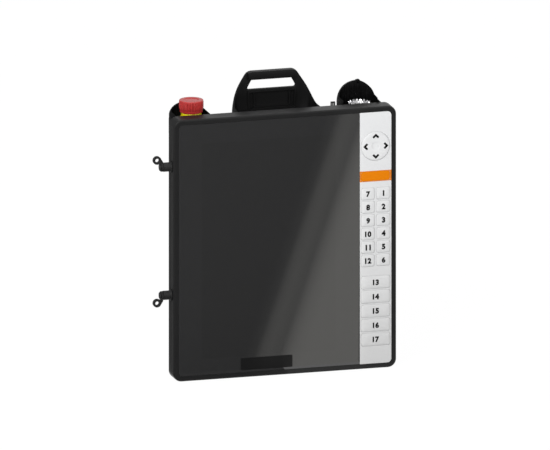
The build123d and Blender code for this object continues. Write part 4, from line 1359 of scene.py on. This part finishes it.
@dataclass
class Stylus:
    """The touch pen in its well, of which only the blocky top loop shows.

    Its sizes are in millimetres.
    """

    tip: float = 9.0
    loop_width: float = 5.2
    loop_height: float = 6.8
    loop_depth: float = 3.0
    loop_bar: float = 1.1
    loop_beam: float = 1.5
    loop_post: float = 1.0
    loop_base: float = 5.2
    loop_shift: float = 0.6

    def build(self) -> None:
        """Turns the shaft and stands the squared loop with its middle post on it."""
        low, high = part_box("stylus")
        centre = axis_point("stylus", low.z)
        tip, top = self.tip, (high.z - low.z) / MM - self.loop_base
        profile = [(0.0, 0.0), (0.8, 0.0), (1.15, 0.2), (1.3, 0.6), (3.8, tip)]
        profile += [(3.95, tip + 1.0), (4.0, tip + 3.0), (4.0, top - 0.6)]
        profile += [(3.8, top - 0.15), (3.4, top), (0.0, top)]
        shaft = Bench.lathe("stylus_shaft", profile, centre, UPWARDS, 48)
        Bench.smooth(shaft, 40.0)
        Bench.finish(shaft, STYLUS_BLACK, "stylus", "stylus")
        foot = Vector((self.loop_shift, -self.loop_depth / 2, top - 0.1)) * MM
        side, post, rise = self.loop_width / 2, self.loop_post / 2, self.loop_height
        bar, beam = side - self.loop_bar, rise - self.loop_beam
        outline = [(-side, 0), (-side, rise), (side, rise), (side, 0), (bar, 0), (bar, beam)]
        outline += [(post, beam), (post, 0), (-post, 0), (-post, beam), (-bar, beam), (-bar, 0)]
        loop = Bench.slab("stylus_loop", outline, centre + foot, self.loop_depth, 0.25)
        Bench.finish(loop, STYLUS_BLACK, "stylus")


@dataclass
class KeyRing:
    """The key switch's bright crown ring, with its sizes in millimetres."""

    teeth: int = 16
    columns: int = 6
    gap_columns: tuple[int, ...] = (2, 3)
    height: float = 6.2
    rim: float = 7.7
    gap_foot: float = 4.2
    gap_scale: Place = (0.955, 0.955, 0.42)

    def build(self) -> None:
        """Turns the ring and lowers its rim between the teeth."""
        low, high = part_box("key_switch_bezel")
        top = high.z - self.height * MM
        centre = axis_point("key_switch_bezel", top)
        foot, rim = (low.z - top) / MM, self.rim
        profile = [(8.06, foot), (11.0, foot), (11.0, 0.0), (13.8, 0.0), (14.0, 0.25), (14.0, 2.2)]
        profile += [(13.8, 2.5), (13.3, 2.8), (13.2, 4.2), (13.1, rim - 0.7)]
        profile += [(12.8, rim - 0.2), (12.3, rim), (11.7, rim), (11.2, rim - 0.3)]
        profile += [(10.9, rim - 1.2), (10.7, 4.6), (8.3, 4.6), (8.06, 4.4), (8.06, foot)]
        steps = self.teeth * self.columns
        ring = Bench.lathe("key_ring_turned", profile, centre, UPWARDS, steps)
        Bench.press_columns(
            ring,
            steps,
            centre,
            centre + UPWARDS * (self.gap_foot * MM),
            self.gap_scale,
            lambda column, arm: column % self.columns in self.gap_columns
            and arm.z > (self.gap_foot + 0.1) * MM,
        )
        Bench.smooth(ring, 30.0)
        Bench.finish(ring, RING_CHROME, "housing", "key_switch_bezel")


class Lanyard(SubAssembly):
    """The two strap posts on the left side with their turning eyelets."""

    pieces = (
        SoftPiece("strap_posts", POST_STEEL, 0.3),
        SoftPiece("upper_strap_eyelet", POST_STEEL, 0.35, "upper_strap_eyelet"),
        SoftPiece("lower_strap_eyelet", POST_STEEL, 0.35, "lower_strap_eyelet"),
    )


@dataclass
class StopControl:
    """The red ribbed cap on its yellow flared collar, with sizes in millimetres."""

    ribs: int = 48
    columns: int = 4
    groove_column: int = 2
    groove: float = 0.91
    rib_radius: float = 13.4
    skirt_drop: float = 1.6
    collar_top: float = 10.5

    def build(self) -> None:
        """Makes the cap and the collar."""
        self._cap()
        self._collar()

    def _cap(self) -> None:
        """Turns the hollow cap and draws one column in four in, to leave the ribs standing."""
        low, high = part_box("stop_cap")
        centre = axis_point("stop_cap", low.z)
        top = (high.z - low.z) / MM
        profile = [(0.0, top - 0.8), (8.1, top - 0.8), (8.5, top - 0.75), (9.2, top - 0.1)]
        profile += [(9.6, top), (13.4, top), (13.9, top - 0.12), (14.2, top - 0.4)]
        profile += [(14.25, top - 0.9), (14.1, top - 1.2), (14.15, top - 1.4)]
        profile += [(14.4, top - 1.55), (14.45, top - 1.75), (14.5, top - 2.2)]
        profile += [(14.5, top - 3.4), (14.5, 7.5), (14.5, 4.6), (14.3, 3.2), (13.85, 2.2)]
        profile += [(13.6, 1.2), (13.45, 0.0)]
        foot = [(13.25, 0.2), (13.05, 0.0), (12.75, 0.0), (12.6, 0.15)]
        profile += [(radius, height - self.skirt_drop) for radius, height in foot]
        profile += [(12.6, 5.0), (6.0, 5.0), (6.0, 4.1), (4.05, 4.1), (4.05, top - 3.7)]
        profile += [(0.0, top - 3.7)]
        steps = self.ribs * self.columns
        cap = Bench.lathe("stop_cap_turned", profile, centre, UPWARDS, steps)
        start, end = (0.1 - self.skirt_drop) * MM, (top - 1.5) * MM
        Bench.press_columns(
            cap,
            steps,
            centre,
            centre,
            (self.groove, self.groove, 1.0),
            lambda column, arm: column % self.columns == self.groove_column
            and math.hypot(arm.x, arm.y) > self.rib_radius * MM
            and start < arm.z < end,
        )
        Bench.smooth(cap, 42.0)
        Bench.finish(cap, CAP_RED, "stop_cap", "stop_cap")

    def _collar(self) -> None:
        """Turns the yellow collar with its flared foot and the barrel below it."""
        low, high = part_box("stop_base")
        centre = axis_point("stop_base", high.z - self.collar_top * MM)
        foot = (low.z - centre.z) / MM
        profile = [(7.08, foot), (11.0, foot), (11.0, 0.0), (13.6, 0.0), (13.8, 0.2), (13.8, 2.8)]
        profile += [(13.6, 3.2), (12.3, 5.0), (12.05, 5.8), (12.0, 6.4), (12.0, 10.2)]
        profile += [(11.8, 10.45), (11.5, 10.5), (7.3, 10.5), (7.08, 10.3), (7.08, foot)]
        collar = Bench.lathe("stop_collar_turned", profile, centre, UPWARDS, 72)
        Bench.smooth(collar, 40.0)
        Bench.finish(collar, COLLAR_YELLOW, "housing", "stop_base")


# Putting it together


def main() -> None:
    """Builds the studio and every sub-assembly in order."""
    logging.basicConfig(level=logging.INFO, format="%(name)s: %(message)s")
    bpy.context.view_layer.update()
    dress_cad_nodes()
    units = (FrontUnit(), RearUnit(), TopFittings(), Lanyard(), StopControl(), KeyRing(), Stylus())
    for unit in (Studio(), Keypad(), *units):
        unit.build()


if __name__ == "__main__":
    main()
